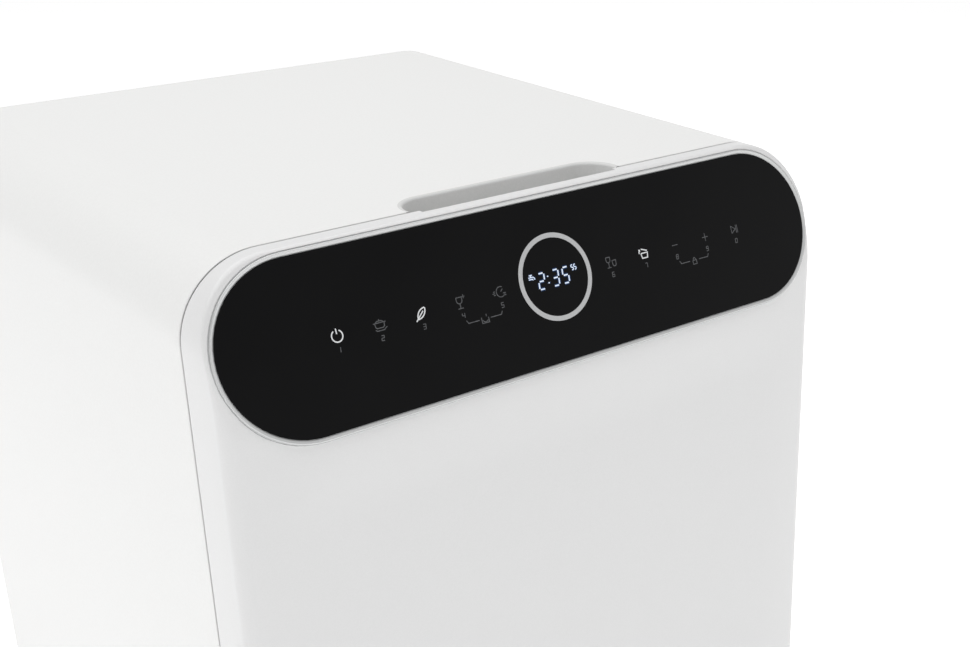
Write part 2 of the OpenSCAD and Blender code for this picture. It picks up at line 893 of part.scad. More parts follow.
// The door seen from its side, inset by t: flat below, swelling to the chin, leaning back above
module door_side(t = 0) {
    low = door_bottom + t;
    top = cab_h - t;
    rear = door_gap;
    chamfer = t > 0 ? 0 : 3;
    points = [
        [rear + chamfer, low], [door_t - t - 4, low], [door_t - t, low + 4],
        [door_t - t, chin_z - chin_run], [chin_u - t, chin_z - t],
        [face_u(top, -t), top], [rear, top], [rear, low + (t > 0 ? 0 : 5)]
    ];
    sideways(-cab_w / 2, cab_w) polygon([for (p = points) [seam_y - p[0], p[1]]]);
}

// The door seen from above, inset by t: flat sides, rounded edges, sloping cheeks
module door_plan(t = 0) {
    hw = cab_w / 2 - t;
    r = edge_r - t;
    cx = cab_w / 2 - edge_r;
    tip_u = front_u + 1;
    slope_u = cheek_d + r * cos(cheek_slope);
    slope_x = cx + r * sin(cheek_slope);
    tip_x = slope_x - (tip_u - slope_u) / tan(cheek_slope);
    half = [[hw, 0], [hw, cheek_d], [slope_x, slope_u], [tip_x, tip_u]];
    translate([0, 0, door_bottom - 1]) linear_extrude(cab_h - door_bottom + 2) {
        polygon(concat(
            [for (p = half) [p[0], seam_y - p[1]]],
            [for (k = [len(half) - 1 : -1 : 0]) [-half[k][0], seam_y - half[k][1]]]));
        for (i = [-1, 1]) translate([i * cx, seam_y - cheek_d]) circle(r);
    }
}

module door_solid(t = 0) {
    intersection() {
        upright(seam_y - front_u - 1, front_u + 1) outline(door_bottom, t);
        door_side(t);
        door_plan(t);
    }
}

module panel_bar(n0, n1, grow) {
    translate([0, 0, n0]) linear_extrude(n1 - n0) stadium(panel_l + 2 * grow, panel_h + 2 * grow);
}

module groove(grow = 0) {
    w = recess_w - 10 + 2 * grow;
    block(0, seam_y - door_gap - groove_d - grow, cab_h - recess_h - grow, w,
        groove_d + grow + (grow > 0 ? 0 : 1), recess_h + grow + (grow > 0 ? -1 : 1));
}

module door_outer() {
    color("white") difference() {
        union() {
            difference() {
                door_solid();
                difference() {
                    door_solid(door_wall);
                    translate([0, eps, 0]) on_panel() panel_bar(-bezel_deep - 2, 2, bezel_w + 2.2);
                }
                upright(seam_y - liner_u, liner_u) outline(door_bottom + door_wall, door_wall);
            }
            groove(groove_wall);
            liner_screw_places() rod_y(0, seam_y - boss_end, 0, boss_r, boss_end - liner_u);
        }
        groove();
        on_panel() {
            panel_bar(-bezel_deep, 8, bezel_w + bezel_gap);
            panel_bar(-bezel_deep - 8, 0, -ledge_w);
        }
        hinge_slots();
        liner_screw_places() rod_y(0, seam_y - liner_u - 12, 0, thread_r, 13);
    }
}

// The six places of the screws that hold the liner to the bosses of the door
module liner_screw_places() {
    low = hinge_z + arm_rise + 16;
    for (i = [-1, 1], k = [0 : 2])
        translate([i * (side_x - 14), 0, low + k * (panel_z - panel_h / 2 - 8 - low) / 2]) children();
}

module door_liner() {
    skirt = 2;
    color("silver") {
        difference() {
            upright(seam_y - liner_u, door_wall) outline(door_bottom + door_wall + fit, door_wall + fit);
            groove(groove_wall + fit);
            hinge_slots();
            liner_screw_places() rod_y(0, seam_y - liner_u - 1, 0, thread_r + fit, door_wall + 2);
            block(0, seam_y - liner_u - 1, disp_z - disp_h / 2, disp_w - 12, liner_u + 2, disp_h);
        }
        upright(seam_y - door_gap - sink, skirt_d + sink) difference() {
            tub_mouth(-mouth_gap);
            tub_mouth(-mouth_gap - skirt);
        }
    }
}

module control_bezel() {
    color("silver") on_panel() difference() {
        panel_bar(-bezel_deep, bezel_proud, bezel_w);
        panel_bar(-glass_t, bezel_proud + 1, 0);
        panel_bar(-bezel_deep - 1, 0, -ledge_w);
    }
}

module control_glass() {
    color("black") on_panel() difference() {
        panel_bar(-glass_t, 0, 0);
        translate([ring_x, ring_s, -0.6]) difference() {
            cylinder(d = ring_od, h = 2);
            translate([0, 0, -1]) cylinder(d = ring_od - 2 * ring_w, h = 4);
        }
    }
}

module display_ring() {
    color("silver") on_panel() translate([ring_x, ring_s, -0.6]) difference() {
        cylinder(d = ring_od, h = 0.7);
        translate([0, 0, -1]) cylinder(d = ring_od - 2 * ring_w, h = 3);
    }
}

module touch_board() {
    end_room = 35;
    edge_room = 17;
    corner = 5;
    color("darkgreen") on_panel() translate([0, 0, -bezel_deep - board_t])
        linear_extrude(board_t)
            rrect(panel_l - 2 * end_room, panel_h - 2 * edge_room, corner);
}

module display_module() {
    view_w = 40;
    view_h = 26;
    color("dimgray") on_panel() translate([ring_x, ring_s, -bezel_deep])
        linear_extrude(bezel_deep - glass_t) rrect(view_w, view_h, 2);
}

module door_strike() {
    notch = 7;
    color("silver") difference() {
        union() {
            block(0, seam_y - door_gap, strike_z, strike_w, door_gap + strike_l, strike_t);
            block(0, seam_y - door_gap, strike_z - 5, strike_w + 4, 1.5, strike_t + 8);
        }
        block(0, hook_pivot_y - hook_arm - 2, strike_z - 1, hook_w + 3, notch, strike_t + 2);
    }
}

module dispenser_housing() {
    rear = seam_y - door_gap;
    color("whitesmoke") difference() {
        union() {
            upright(rear, disp_plate) translate([0, disp_z]) rrect(disp_w, disp_h + 6, disp_r);
            block(0, rear - disp_d, disp_z - disp_h / 2 + 1, disp_w - 14, disp_d + sink, disp_h - 2);
        }
        upright(rear - disp_d + 2, disp_d + 5) translate([cup_x, disp_z]) rrect(cup_w, cup_tall, disp_r);
        rod_y(rinse_x, rear - 14, disp_z, rinse_r - 4, 20);
    }
}

module dispenser_lid() {
    color("gray") {
        upright(lid_y, lid_t) translate([cup_x, disp_z])
            rrect(cup_w + 6, cup_tall + 6, disp_r);
        block(cup_x + 16, lid_y + lid_t - sink, disp_z - 18, 8, 2 + sink, 36);
    }
}

module rinse_cap() {
    rear = seam_y - door_gap + disp_plate;
    color("steelblue") {
        rod_y(rinse_x, rear, disp_z, rinse_r, 4);
        rod_y(rinse_x, rear - 8, disp_z, rinse_r - 4.5, 8 + sink);
        block(rinse_x, rear + 4 - sink, disp_z - rinse_r + 3, 5, 4 + sink, 2 * rinse_r - 6);
    }
}

module bottom_seal() {
    color("dimgray") block(0, seam_y - door_gap, hinge_z + 12, tub_w - 40, door_gap + play, 6);
}

module liner_screws() {
    head_r = 3.4;
    head_t = 1.4;
    thread_l = 10;
    color("silver") liner_screw_places() {
        rod_y(0, seam_y - door_gap, 0, head_r, head_t);
        rod_y(0, seam_y - liner_u - thread_l, 0, thread_r, thread_l + door_wall + sink);
    }
}

// ---------- rack ----------
module wire_loop(z, w, d, r) {
    for (i = [-1, 1]) {
        rod_y(i * (w / 2 - r), rack_mid_y - d / 2 + r, z, r, d - 2 * r);
        rod_x(-w / 2 + r, rack_mid_y + i * (d / 2 - r), z, r, w - 2 * r);
        for (j = [-1, 1])
            translate([i * (w / 2 - r), rack_mid_y + j * (d / 2 - r), z]) sphere(r = r);
    }
}

// A thin upright that stands on the frame wire of the rack floor, its foot coped to that wire
module rack_upright(x, y, top) {
    cope = sqrt(wire_r * wire_r - tine_r * tine_r) - 0.1;
    translate([x, y, rack_z + wire_r + cope]) cylinder(r = tine_r, h = top - rack_z - wire_r - cope);
}

function side_upright_y(k) = rack_mid_y - rack_mid_d / 2 + k * rack_mid_d / side_uprights;

module rack_floor() {
    color("lightsteelblue") {
        wire_loop(rack_z + wire_r, rack_w, rack_d, wire_r);
        for (k = [1 : floor_wires])
            rod_y(-rack_mid_w / 2 + k * rack_mid_w / (floor_wires + 1), rack_mid_y - rack_mid_d / 2,
                rack_z + wire_r, tine_r, rack_mid_d);
        rod_x(-rack_mid_w / 2, rack_mid_y, rack_z + wire_r, tine_r, rack_mid_w);
    }
}

// The two sides: an upper rail on uprights, with the glides that run on the tub's rails
module rack_sides() {
    rail_mid = rack_z + rack_h - wire_r;
    for (i = [-1, 1]) {
        x = i * rack_mid_w / 2;
        color("lightsteelblue") {
            rod_y(x, rack_mid_y - rack_d / 2, rail_mid, wire_r, rack_d);
            difference() {
                for (k = [1 : side_uprights - 1])
                    rack_upright(x, side_upright_y(k), rail_mid);
                rod_y(x, rack_mid_y - rack_d / 2, rack_z + wire_r, wire_r, rack_d);
            }
        }
        color("whitesmoke") for (k = [1, side_uprights - 1])
            block(i * (rack_w / 2 + rack_side - glide_gap) - i * glide_w / 2, side_upright_y(k) - glide_l / 2,
                rail_z + glide_lift, glide_w, glide_l, glide_h);
    }
}

// The front and the rear: a rail that passes under the side rails, on uprights
module rack_ends() {
    end_uprights = 4;
    rail_mid = rack_z + rack_h - wire_d - wire_r;
    color("lightsteelblue") for (j = [-1, 1]) {
        y = rack_mid_y + j * rack_mid_d / 2;
        rod_x(-rack_w / 2, y, rail_mid, wire_r, rack_w);
        difference() {
            for (k = [1 : end_uprights])
                rack_upright(-rack_mid_w / 2 + k * rack_mid_w / (end_uprights + 1), y, rail_mid);
            rod_x(-rack_w / 2, y, rack_z + wire_r, wire_r, rack_w);
        }
    }
}

// Two combs of plate tines, each on a foot wire that lies on the floor wires
module rack_tines() {
    foot_z = rack_z + wire_r + 2 * tine_r;
    span = tine_pitch * (tine_count - 1);
    color("lightsteelblue") for (j = [-1, 1])
        translate([tine_x, rack_mid_y + j * rack_mid_d / 4, foot_z]) {
            rod_x(0, 0, 0, tine_r, span);
            for (k = [0 : tine_count - 1]) translate([k * tine_pitch, 0, 0]) {
                cylinder(r = tine_r, h = tine_h);
                translate([0, 0, tine_h]) sphere(r = tine_r);
            }
            for (k = [0, tine_count - 1]) translate([k * tine_pitch, 0, 0]) sphere(r = tine_r);
        }
}

module cutlery_basket() {
    wall = 2;
    x = rack_w / 2 - wire_d - basket_w / 2 - 4;
    y = rack_y + wire_d + 6;
    z = rack_z + wire_d + 0.3;
    color("lightgray") difference() {
        block(x, y, z, basket_w, basket_d, basket_h);
        for (k = [0 : 2])
            block(x, y + wall + k * (basket_d - wall) / 3, z + wall, basket_w - 2 * wall,
                (basket_d - wall) / 3 - wall, basket_h);
        for (i = [-1, 1], k = [0 : 5], m = [0 : 2])
            translate([x, y + 14 + k * (basket_d - 28) / 5, z + 18 + 24 * m])
                translate([-basket_w, -4, 0]) cube([2 * basket_w, 8, 14]);
    }
}

module cup_shelf() {
    bar_r = 2;
    rungs = 6;
    color("lightsteelblue") translate([shelf_x, rack_mid_y - shelf_d / 2, shelf_z]) {
        rod_y(0, 0, 0, bar_r, shelf_d);
        rod_y(0, 0, -shelf_w, bar_r, shelf_d);
        for (k = [0 : rungs])
            translate([0, bar_r + k * (shelf_d - 2 * bar_r) / rungs, -shelf_w])
                cylinder(r = tine_r, h = shelf_w);
    }
}

outer_shell();
finger_recess();
front_frame();
base_tray();
rear_panel();
feet();
tub();
tub_gasket();
tub_rails();
sound_pads();
sump();
filter_plate();
filter_cup();
wash_pump();
drain_pump();
heater();
delivery_pipe();
riser_pipe();
lower_hub();
lower_spray_arm();
upper_hub();
upper_spray_arm();
softener_tank();
salt_cap();
air_break();
inlet_valve();
drain_spigot();
cord_gland();
board_box();
main_board();
latch_housing();
latch_hook();
door_switch();
actuator_box();
door_pusher();
hinge_brackets();
hinge_pins();
leak_float();
rear_screws();
door_outer();
door_liner();
hinge_arms();
control_bezel();
control_glass();
display_ring();
display_module();
touch_board();
door_strike();
dispenser_housing();
dispenser_lid();
rinse_cap();
bottom_seal();
liner_screws();
rack_floor();
rack_sides();
rack_ends();
rack_tines();
cutlery_basket();
cup_shelf();
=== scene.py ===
"""Finishes and fine shapes of the countertop dishwasher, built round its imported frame."""
import math

import bmesh
import bpy
from mathutils import Matrix, Vector


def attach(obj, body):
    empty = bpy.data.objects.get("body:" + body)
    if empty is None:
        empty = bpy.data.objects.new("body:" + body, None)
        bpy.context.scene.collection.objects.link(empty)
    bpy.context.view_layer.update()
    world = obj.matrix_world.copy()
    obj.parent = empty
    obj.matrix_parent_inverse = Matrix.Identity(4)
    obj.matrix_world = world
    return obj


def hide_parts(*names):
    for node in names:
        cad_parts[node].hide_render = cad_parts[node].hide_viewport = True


MM = 0.001

# Cabinet and door, in millimetres, as in the part's source
CAB_W = 420
CAB_H = 435
CAB_D = 385
CORNER_R = 45
SHELL_T = 1.2
FOOT_H = 12
TRAY_TOP = 41
REAR_T = 2
DOOR_GAP = 2
DOOR_T = 44
DOOR_BOTTOM = 42
CHEEK_D = 31
CHEEK_SLOPE = math.radians(10)
EDGE_R = 8.5
INLET_L = 14

# Control panel, as in the part's source
PANEL_L = 410
PANEL_H = 94
PANEL_TILT = math.radians(20.6)
PANEL_DROP = 48.3
PANEL_U = 30
GLASS_T = 3
BEZEL_W = 2.6
BEZEL_PROUD = 0.4
BEZEL_GAP = 0.5
CHIN_BACK = 0.6

# Finger recess, and the groove that goes on from it in the door, as in the part's source
RECESS_W = 146
RECESS_D = 21.5
RECESS_H = 15
RECESS_R = 18
RECESS_T = 2
GROOVE_D = 3.2
GROOVE_WALL = 1.5

# Places that follow: U is a distance before the seam between door and cabinet
FRONT_U = PANEL_U + (PANEL_H / 2 + BEZEL_W) * math.sin(PANEL_TILT) + BEZEL_PROUD * math.cos(PANEL_TILT)
SEAM_Y = (FRONT_U - CAB_D - INLET_L) / 2
REAR_Y = SEAM_Y + CAB_D
PANEL_Z = CAB_H - PANEL_DROP
CHIN_U = FRONT_U - CHIN_BACK
CHIN_Z = PANEL_Z - (CHIN_U - PANEL_U) / math.tan(PANEL_TILT)

# How far a cutting solid reaches past what it cuts
CUT_PAST = 1
CUT_WELL_PAST = 5


# ---------- node materials ----------
# The part of a noise that a mottle's two tones are spread over
MOTTLE_FROM = 0.35
MOTTLE_TO = 0.65
# The body of a light guide, as it shows without its light
UNLIT = "14161a"


def srgb(code):
    """A colour from its sRGB hex value, by the standard's curve."""
    parts = [int(code[i:i + 2], 16) / 255 for i in (0, 2, 4)]
    linear = [c / 12.92 if c <= 0.04045 else ((c + 0.055) / 1.055) ** 2.4 for c in parts]
    return (*linear, 1.0)


def add(tree, kind, settings=None, links=None):
    """Adds a node. settings are attributes or input values, links are input: source socket."""
    node = tree.nodes.new(kind)
    for key, value in (settings or {}).items():
        if isinstance(key, str) and hasattr(node, key):
            setattr(node, key, value)
        else:
            node.inputs[key].default_value = value
    for key, source in (links or {}).items():
        tree.links.new(source, node.inputs[key])
    return node


def surface(name, code, roughness, metallic=0.0, **extra):
    """A new material with its main shader, which holds every constant on its own sockets."""
    material = bpy.data.materials.new(name)
    material.use_nodes = True
    tree = material.node_tree
    tree.nodes.clear()
    shader = add(tree, "ShaderNodeBsdfPrincipled",
                 {"Base Color": srgb(code), "Roughness": roughness, "Metallic": metallic, **extra})
    add(tree, "ShaderNodeOutputMaterial", links={"Surface": shader.outputs[0]})
    return material, tree, shader


def speckle(tree, size_mm, detail=2.0, stretch=(1, 1, 1)):
    """A noise of a real size, fed by the object's own coordinates."""
    place = add(tree, "ShaderNodeTexCoord")
    scaled = add(tree, "ShaderNodeMapping", {"Scale": stretch}, {"Vector": place.outputs["Object"]})
    return add(tree, "ShaderNodeTexNoise", {"Scale": 1 / (size_mm * MM), "Detail": detail},
               {"Vector": scaled.outputs[0]})


def grain(tree, shader, size_mm, depth_mm, detail=2.0, stretch=(1, 1, 1)):
    """Moulded or painted grain of a real size, which also stands up from the surface as bump."""
    noise = speckle(tree, size_mm, detail, stretch)
    bump = add(tree, "ShaderNodeBump", {"Strength": 1.0, "Distance": depth_mm * MM},
               {"Height": noise.outputs[0]})
    tree.links.new(bump.outputs[0], shader.inputs["Normal"])
    return noise


def mottle(tree, shader, low, high, noise, socket="Base Color"):
    """Spreads a colour between two close tones by a noise, so that no face is one flat tone."""
    ramp = add(tree, "ShaderNodeValToRGB", links={"Fac": noise.outputs[0]})
    ramp.color_ramp.elements[0].position = MOTTLE_FROM
    ramp.color_ramp.elements[0].color = srgb(low)
    ramp.color_ramp.elements[1].position = MOTTLE_TO
    ramp.color_ramp.elements[1].color = srgb(high)
    tree.links.new(ramp.outputs[0], shader.inputs[socket])


def powder_coat():
    # Powder coat baked on sheet steel: a white satin skin with a very fine orange peel.
    material, tree, shader = surface("white_powder_coat", "e4e4e3", roughness=0.38, IOR=1.5)
    peel = grain(tree, shader, size_mm=1.6, depth_mm=0.006)
    mottle(tree, shader, "e3e3e2", "e5e5e4", peel)
    return material


def white_abs():
    # Injection-moulded ABS, finely polished: a soft gloss over a clean white.
    material, tree, shader = surface("white_moulded_abs", "dcdcdc", roughness=0.33, IOR=1.53)
    spark = grain(tree, shader, size_mm=0.8, depth_mm=0.003)
    mottle(tree, shader, "dbdbdb", "dddddd", spark)
    return material


def grey_polypropylene():
    # Moulded polypropylene with a spark-eroded grain: a light grey, half matt.
    material, tree, shader = surface("grey_moulded_polypropylene", "bfc0c1", roughness=0.5, IOR=1.49)
    spark = grain(tree, shader, size_mm=0.9, depth_mm=0.03)
    mottle(tree, shader, "babbbc", "c4c5c6", spark)
    return material


def dark_polypropylene():
    # Glass-filled polypropylene, matt and nearly black, as pump and frame parts are.
    material, tree, shader = surface("dark_moulded_polypropylene", "3a3c3e", roughness=0.55, IOR=1.49)
    spark = grain(tree, shader, size_mm=1.0, depth_mm=0.03)
    mottle(tree, shader, "353739", "404244", spark)
    return material


def black_glass():
    # Black-backed float glass: deep black under a hard polished face.
    # Its anti-reflection coating keeps it dark even under a bright ceiling.
    material, tree, shader = surface("black_backed_glass", "050506", roughness=0.3, IOR=1.52)
    shader.inputs["Specular IOR Level"].default_value = 0.12
    wave = grain(tree, shader, size_mm=60, depth_mm=0.004)
    mottle(tree, shader, "040405", "060607", wave)
    return material


def satin_bezel():
    # ABS lacquered in a pearl white: a soft silvery gleam on its rounded lip.
    material, tree, shader = surface("pearl_lacquered_abs", "cfd0d0", roughness=0.25, metallic=0.35,
                                     IOR=1.53)
    flake = grain(tree, shader, size_mm=0.4, depth_mm=0.001)
    mottle(tree, shader, "cccdcd", "d3d4d4", flake)
    return material


def satin_ring():
    # Anodised aluminium, turned and then blasted: an even silver-grey.
    material, tree, shader = surface("blasted_anodised_aluminium", "bfc0c1", roughness=0.45, metallic=0.4)
    blast = grain(tree, shader, size_mm=0.35, depth_mm=0.006)
    mottle(tree, shader, "bbbcbd", "c4c5c6", blast)
    return material


def brushed_stainless():
    # Stainless sheet, brushed along its length: fine lines and a blurred, bright reflection.
    material, tree, shader = surface("brushed_stainless_steel", "dbdbd9", roughness=0.27, metallic=1.0)
    lines = grain(tree, shader, size_mm=1.2, depth_mm=0.006, detail=3.0, stretch=(0.04, 0.04, 1))
    mottle(tree, shader, "d2d2d0", "e2e2e0", lines)
    return material


def zinc_steel():
    # Steel with a bright zinc plating: slightly blue and a little uneven.
    material, tree, shader = surface("zinc_plated_steel", "b4b8bc", roughness=0.33, metallic=1.0)
    bloom = grain(tree, shader, size_mm=9, depth_mm=0.004)
    mottle(tree, shader, "afb3b7", "babec2", bloom)
    return material


def black_rubber():
    # Moulded rubber: matt and dark, with a dusty bloom.
    material, tree, shader = surface("moulded_black_rubber", "262626", roughness=0.75, IOR=1.52)
    bloom = grain(tree, shader, size_mm=2.0, depth_mm=0.05, detail=4.0)
    mottle(tree, shader, "222222", "2f2f2f", bloom)
    return material


def seal_rubber():
    # Extruded EPDM seal: dark grey and silky along its length.
    material, tree, shader = surface("extruded_epdm_rubber", "3f4042", roughness=0.6, IOR=1.52)
    bloom = grain(tree, shader, size_mm=3.0, depth_mm=0.04, detail=3.0)
    mottle(tree, shader, "393a3c", "46474a", bloom)
    return material


def bitumen():
    # Bitumen sheet bonded to steel: rough, dull and black-brown.
    material, tree, shader = surface("bitumen_felt", "2a2725", roughness=0.9)
    rough = grain(tree, shader, size_mm=4.0, depth_mm=0.5, detail=5.0)
    mottle(tree, shader, "221f1d", "35312e", rough)
    return material


def rack_coat():
    # Nylon dipped on steel wire: a cool pale grey, smooth and slightly waxy.
    material, tree, shader = surface("nylon_dipped_wire", "c3c6c9", roughness=0.38, IOR=1.53)
    skin = grain(tree, shader, size_mm=3.0, depth_mm=0.03)
    mottle(tree, shader, "bdc0c3", "c9ccd0", skin)
    return material


def circuit_board():
    # Epoxy glass board under green solder mask: a deep green with a satin gloss.
    material, tree, shader = surface("solder_masked_epoxy_board", "1f5a3a", roughness=0.4, IOR=1.55)
    mask = grain(tree, shader, size_mm=1.5, depth_mm=0.02)
    mottle(tree, shader, "1a5033", "256442", mask)
    return material


def blue_cap():
    # Blue moulded polypropylene, the usual colour of a salt or rinse cap.
    material, tree, shader = surface("blue_moulded_polypropylene", "3f6fa3", roughness=0.42, IOR=1.49)
    spark = grain(tree, shader, size_mm=0.9, depth_mm=0.02)
    mottle(tree, shader, "3a6899", "4577ad", spark)
    return material


def glowing(name, low, high, strength):
    """A light guide behind the glass, a little uneven along its length."""
    material, tree, shader = surface(name, UNLIT, roughness=0.4)
    shader.inputs["Specular IOR Level"].default_value = 0.0
    shader.inputs["Emission Strength"].default_value = strength
    mottle(tree, shader, low, high, speckle(tree, size_mm=2.5), "Emission Color")
    return material


def lit_key():
    # White LED through a milky light guide: bright and nearly neutral.
    return glowing("milky_light_guide", "e4e6e8", "f2f3f4", strength=0.82)


def lit_display():
    # White LED bars: bluish and brighter than the keys.
    return glowing("led_bar", "d8e8ff", "eef5ff", strength=1.0)


def display_halo():
    # The light that spreads in the glass round the bars: a faint blue.
    return glowing("lit_glass_edge", "2f4f80", "3c6094", strength=0.5)


def printed_ink():
    # Grey ceramic ink fired on the back of the glass: dull, with no gloss of its own.
    material, tree, shader = surface("fired_grey_ink", "5a5b5d", roughness=0.5)
    shader.inputs["Specular IOR Level"].default_value = 0.09
    mottle(tree, shader, "545557", "626365", speckle(tree, size_mm=1.1111))
    return material


def recess_abs_painted_shade():
    # The same moulded ABS with a spark-eroded grain inside the finger recess: matt, and its white painted a
    # little grey as painted shade of the recess.
    material, tree, shader = surface("grained_abs_painted_shade", "cececd", roughness=0.55, IOR=1.53)
    spark = grain(tree, shader, size_mm=0.9, depth_mm=0.02)
    mottle(tree, shader, "cccccb", "d0d0cf", spark)
    return material


def studio_floor():
    # Seamless studio paper: matt and near white.
    # It is lit through from below a little, so that it stays white.
    material, tree, shader = surface("studio_paper", "fcfcfc", roughness=0.9)
    shader.inputs["Emission Color"].default_value = srgb("ffffff")
    shader.inputs["Emission Strength"].default_value = 0.5
    fibre = grain(tree, shader, size_mm=3.0, depth_mm=0.02)
    mottle(tree, shader, "fbfbfb", "fdfdfd", fibre)
    return material


MAKERS = {
    "white_paint": powder_coat, "white_plastic": white_abs, "grey_plastic": grey_polypropylene,
    "dark_plastic": dark_polypropylene, "black_glass": black_glass, "bezel": satin_bezel,
    "ring": satin_ring, "stainless": brushed_stainless, "zinc": zinc_steel,
    "rubber": black_rubber, "seal_rubber": seal_rubber, "bitumen": bitumen,
    "rack_coat": rack_coat, "board": circuit_board, "cap_blue": blue_cap,
    "recess": recess_abs_painted_shade, "lit_key": lit_key, "display": lit_display, "halo": display_halo,
    "printed": printed_ink, "floor": studio_floor,
}


def finish_cad_nodes(frame, finishes):
    """Every carried-over solid gets the procedural finish of its own material slot."""
    for node in frame["nodes"].values():
        for holder in node.material_slots:
            key = holder.material.name.split(".")[0]
            holder.material = finishes[key]


# ---------- meshes ----------
# Points closer than this, in metres, become one
WELD = 1e-6
# Steps round each end of the glass
END_STEPS = 28


def object_from(bm, name):
    """Puts a finished mesh into the scene as an object."""
    mesh = bpy.data.meshes.new(name)
    bm.to_mesh(mesh)
    bm.free()
    made = bpy.data.objects.new(name, mesh)
    bpy.context.scene.collection.objects.link(made)
    return made


def shade(piece, sharp):
    """Smooth shading, but for the edges that are sharper than an angle in degrees."""
    piece.data.shade_smooth()
    piece.data.set_sharp_from_angle(angle=math.radians(sharp))


def mesh_piece(name, bm, body, material, replaced=(), sharp=35):
    """A finished piece that rides on its body and may stand for a solid."""
    bmesh.ops.remove_doubles(bm, verts=bm.verts, dist=WELD)
    bmesh.ops.recalc_face_normals(bm, faces=bm.faces)
    piece = object_from(bm, name)
    shade(piece, sharp)
    piece.data.materials.append(material)
    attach(piece, body)
    if replaced:
        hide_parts(*replaced)
    return piece


def apply_modifiers(piece):
    """Makes what the modifiers show the piece's own mesh."""
    graph = bpy.context.evaluated_depsgraph_get()
    done = bpy.data.meshes.new_from_object(piece.evaluated_get(graph))
    piece.modifiers.clear()
    piece.data = done


def boolean(piece, cutter_bm, operation="DIFFERENCE"):
    """Cuts a piece by a closed mesh, or joins the mesh to it, and applies the result."""
    bmesh.ops.recalc_face_normals(cutter_bm, faces=cutter_bm.faces)
    cutter = object_from(cutter_bm, "cutter")
    mesh = cutter.data
    modifier = piece.modifiers.new("cut", "BOOLEAN")
    modifier.operation = operation
    modifier.solver = "EXACT"
    modifier.object = cutter
    apply_modifiers(piece)
    bpy.data.objects.remove(cutter)
    bpy.data.meshes.remove(mesh)


def grid(bm, rows, close=False):
    """Skins rows of points with quads and returns the rows of vertices."""
    made = [[bm.verts.new(Vector(p) * MM) for p in row] for row in rows]
    for a, b in zip(made, made[1:]):
        last = len(a) if close else len(a) - 1
        for k in range(last):
            n = (k + 1) % len(a)
            corners = [a[k], a[n], b[n], b[k]]
            unique = list(dict.fromkeys(corners))
            if len(unique) > 2:
                bm.faces.new(unique)
    return made


def box_mesh(x0, x1, y0, y1, z0, z1):
    """A closed box between two places along each axis."""
    bm = bmesh.new()
    corners = [bm.verts.new(Vector((x, y, z)) * MM) for x in (x0, x1) for y in (y0, y1) for z in (z0, z1)]
    for quad in ((0, 1, 3, 2), (4, 6, 7, 5), (0, 4, 5, 1), (2, 3, 7, 6), (0, 2, 6, 4), (1, 5, 7, 3)):
        bm.faces.new([corners[q] for q in quad])
    return bm


def spaced(low, high, count):
    """Even steps from one value to another, both ends with them."""
    return [low + (high - low) * k / count for k in range(count + 1)]


def quarter_turn(count):
    """Angles in even steps from nothing to a right angle."""
    return [math.pi / 2 * k / count for k in range(count + 1)]


def edge_steps(r, count):
    """Insets from an edge, close together at the edge and r at the end."""
    return [r * (1 - math.cos(a)) for a in quarter_turn(count)]


def on_panel(x, s, n):
    """A point given along the glass, up it and out of it, in the row frame."""
    return (x,
            SEAM_Y - PANEL_U - n * math.cos(PANEL_TILT) + s * math.sin(PANEL_TILT),
            PANEL_Z + n * math.sin(PANEL_TILT) + s * math.cos(PANEL_TILT))


def stadium(length, height):
    """The closed outline of a bar with round ends, about the origin."""
    r = height / 2
    middle = length / 2 - r
    points = []
    for side in (1, -1):
        for k in range(END_STEPS + 1):
            a = math.pi * (k / END_STEPS - 0.5)
            points.append((side * (middle + r * math.cos(a)), side * r * math.sin(a)))
    return points


def panel_ring(bm, rings, close_section=False):
    """Skins rings round the glass, each given by how far it grows and its height."""
    rows = []
    for grow, n in rings:
        rows.append([on_panel(x, s, n) for x, s in stadium(PANEL_L + 2 * grow, PANEL_H + 2 * grow)])
    if close_section:
        rows.append(rows[0])
    return grid(bm, rows, close=True)


# ---------- door ----------
# The visible skin is thinner than the smallest round on its edge, or its inside would fold over
SKIN_T = 2.0
# Rounds: of the rim at the thin top, how much it grows with the depth, and of the bottom edge
RIM_R = 2.2
RIM_GROWTH = 0.7
EDGE_LOW_R = 4.0
# The height over which the front swells to the chin, and how soft the chin and the cheeks turn
SWELL_RUN = 52
CHIN_ROUND = 5.0
CHEEK_ROUND = 3.0
# The rows are close together between these distances below and above the chin
TURN_BELOW = 6
TURN_ABOVE = 8
# The columns beside the rounded edge, by their distance from its end
CHEEK_COLUMNS = (3, 7, 12, 18, 25, 33)
# The heel of the back edge
HEEL_D = 3
HEEL_H = 5
# Pocket for the glass: its depth, the edge of its mouth and how far the mouth flares
POCKET_DEEP = 11
MOUTH_DOWN = 0.45
MOUTH_ROUND = 0.1
ROUND_DOWN = 0.3
FLARE_W = 1.7
FLARE_UP = 1.3
POCKET_TOP = 9
# Slots for the hinge arms
HINGE_X = 190
SLOT_W = 14
SLOT_DEEP = 18.1
SLOT_TOP = 58.1
# How far the groove's ends stay inside the recess, and its walls below the top
GROOVE_IN = 5
GROOVE_UNDER = 1


def smooth_max(a, b, k):
    """The larger of two values, with a round of about k between them."""
    h = max(k - abs(a - b), 0.0) / k
    return max(a, b) + h * h * k / 4


def smooth_min(a, b, k):
    """The smaller of two values, with a round of about k between them."""
    return -smooth_max(-a, -b, k)


def round_drop(r, inset):
    """How far a rounded edge falls away at an inset from its outline."""
    return r - math.sqrt(max(r * r - (r - inset) ** 2, 0.0))


def door_half_width(z):
    """Half the door's width at a height, narrowing over its two round corners."""
    over = z - (CAB_H - CORNER_R)
    if over <= 0:
        return CAB_W / 2
    return CAB_W / 2 - CORNER_R + math.sqrt(max(CORNER_R ** 2 - over ** 2, 0.0))


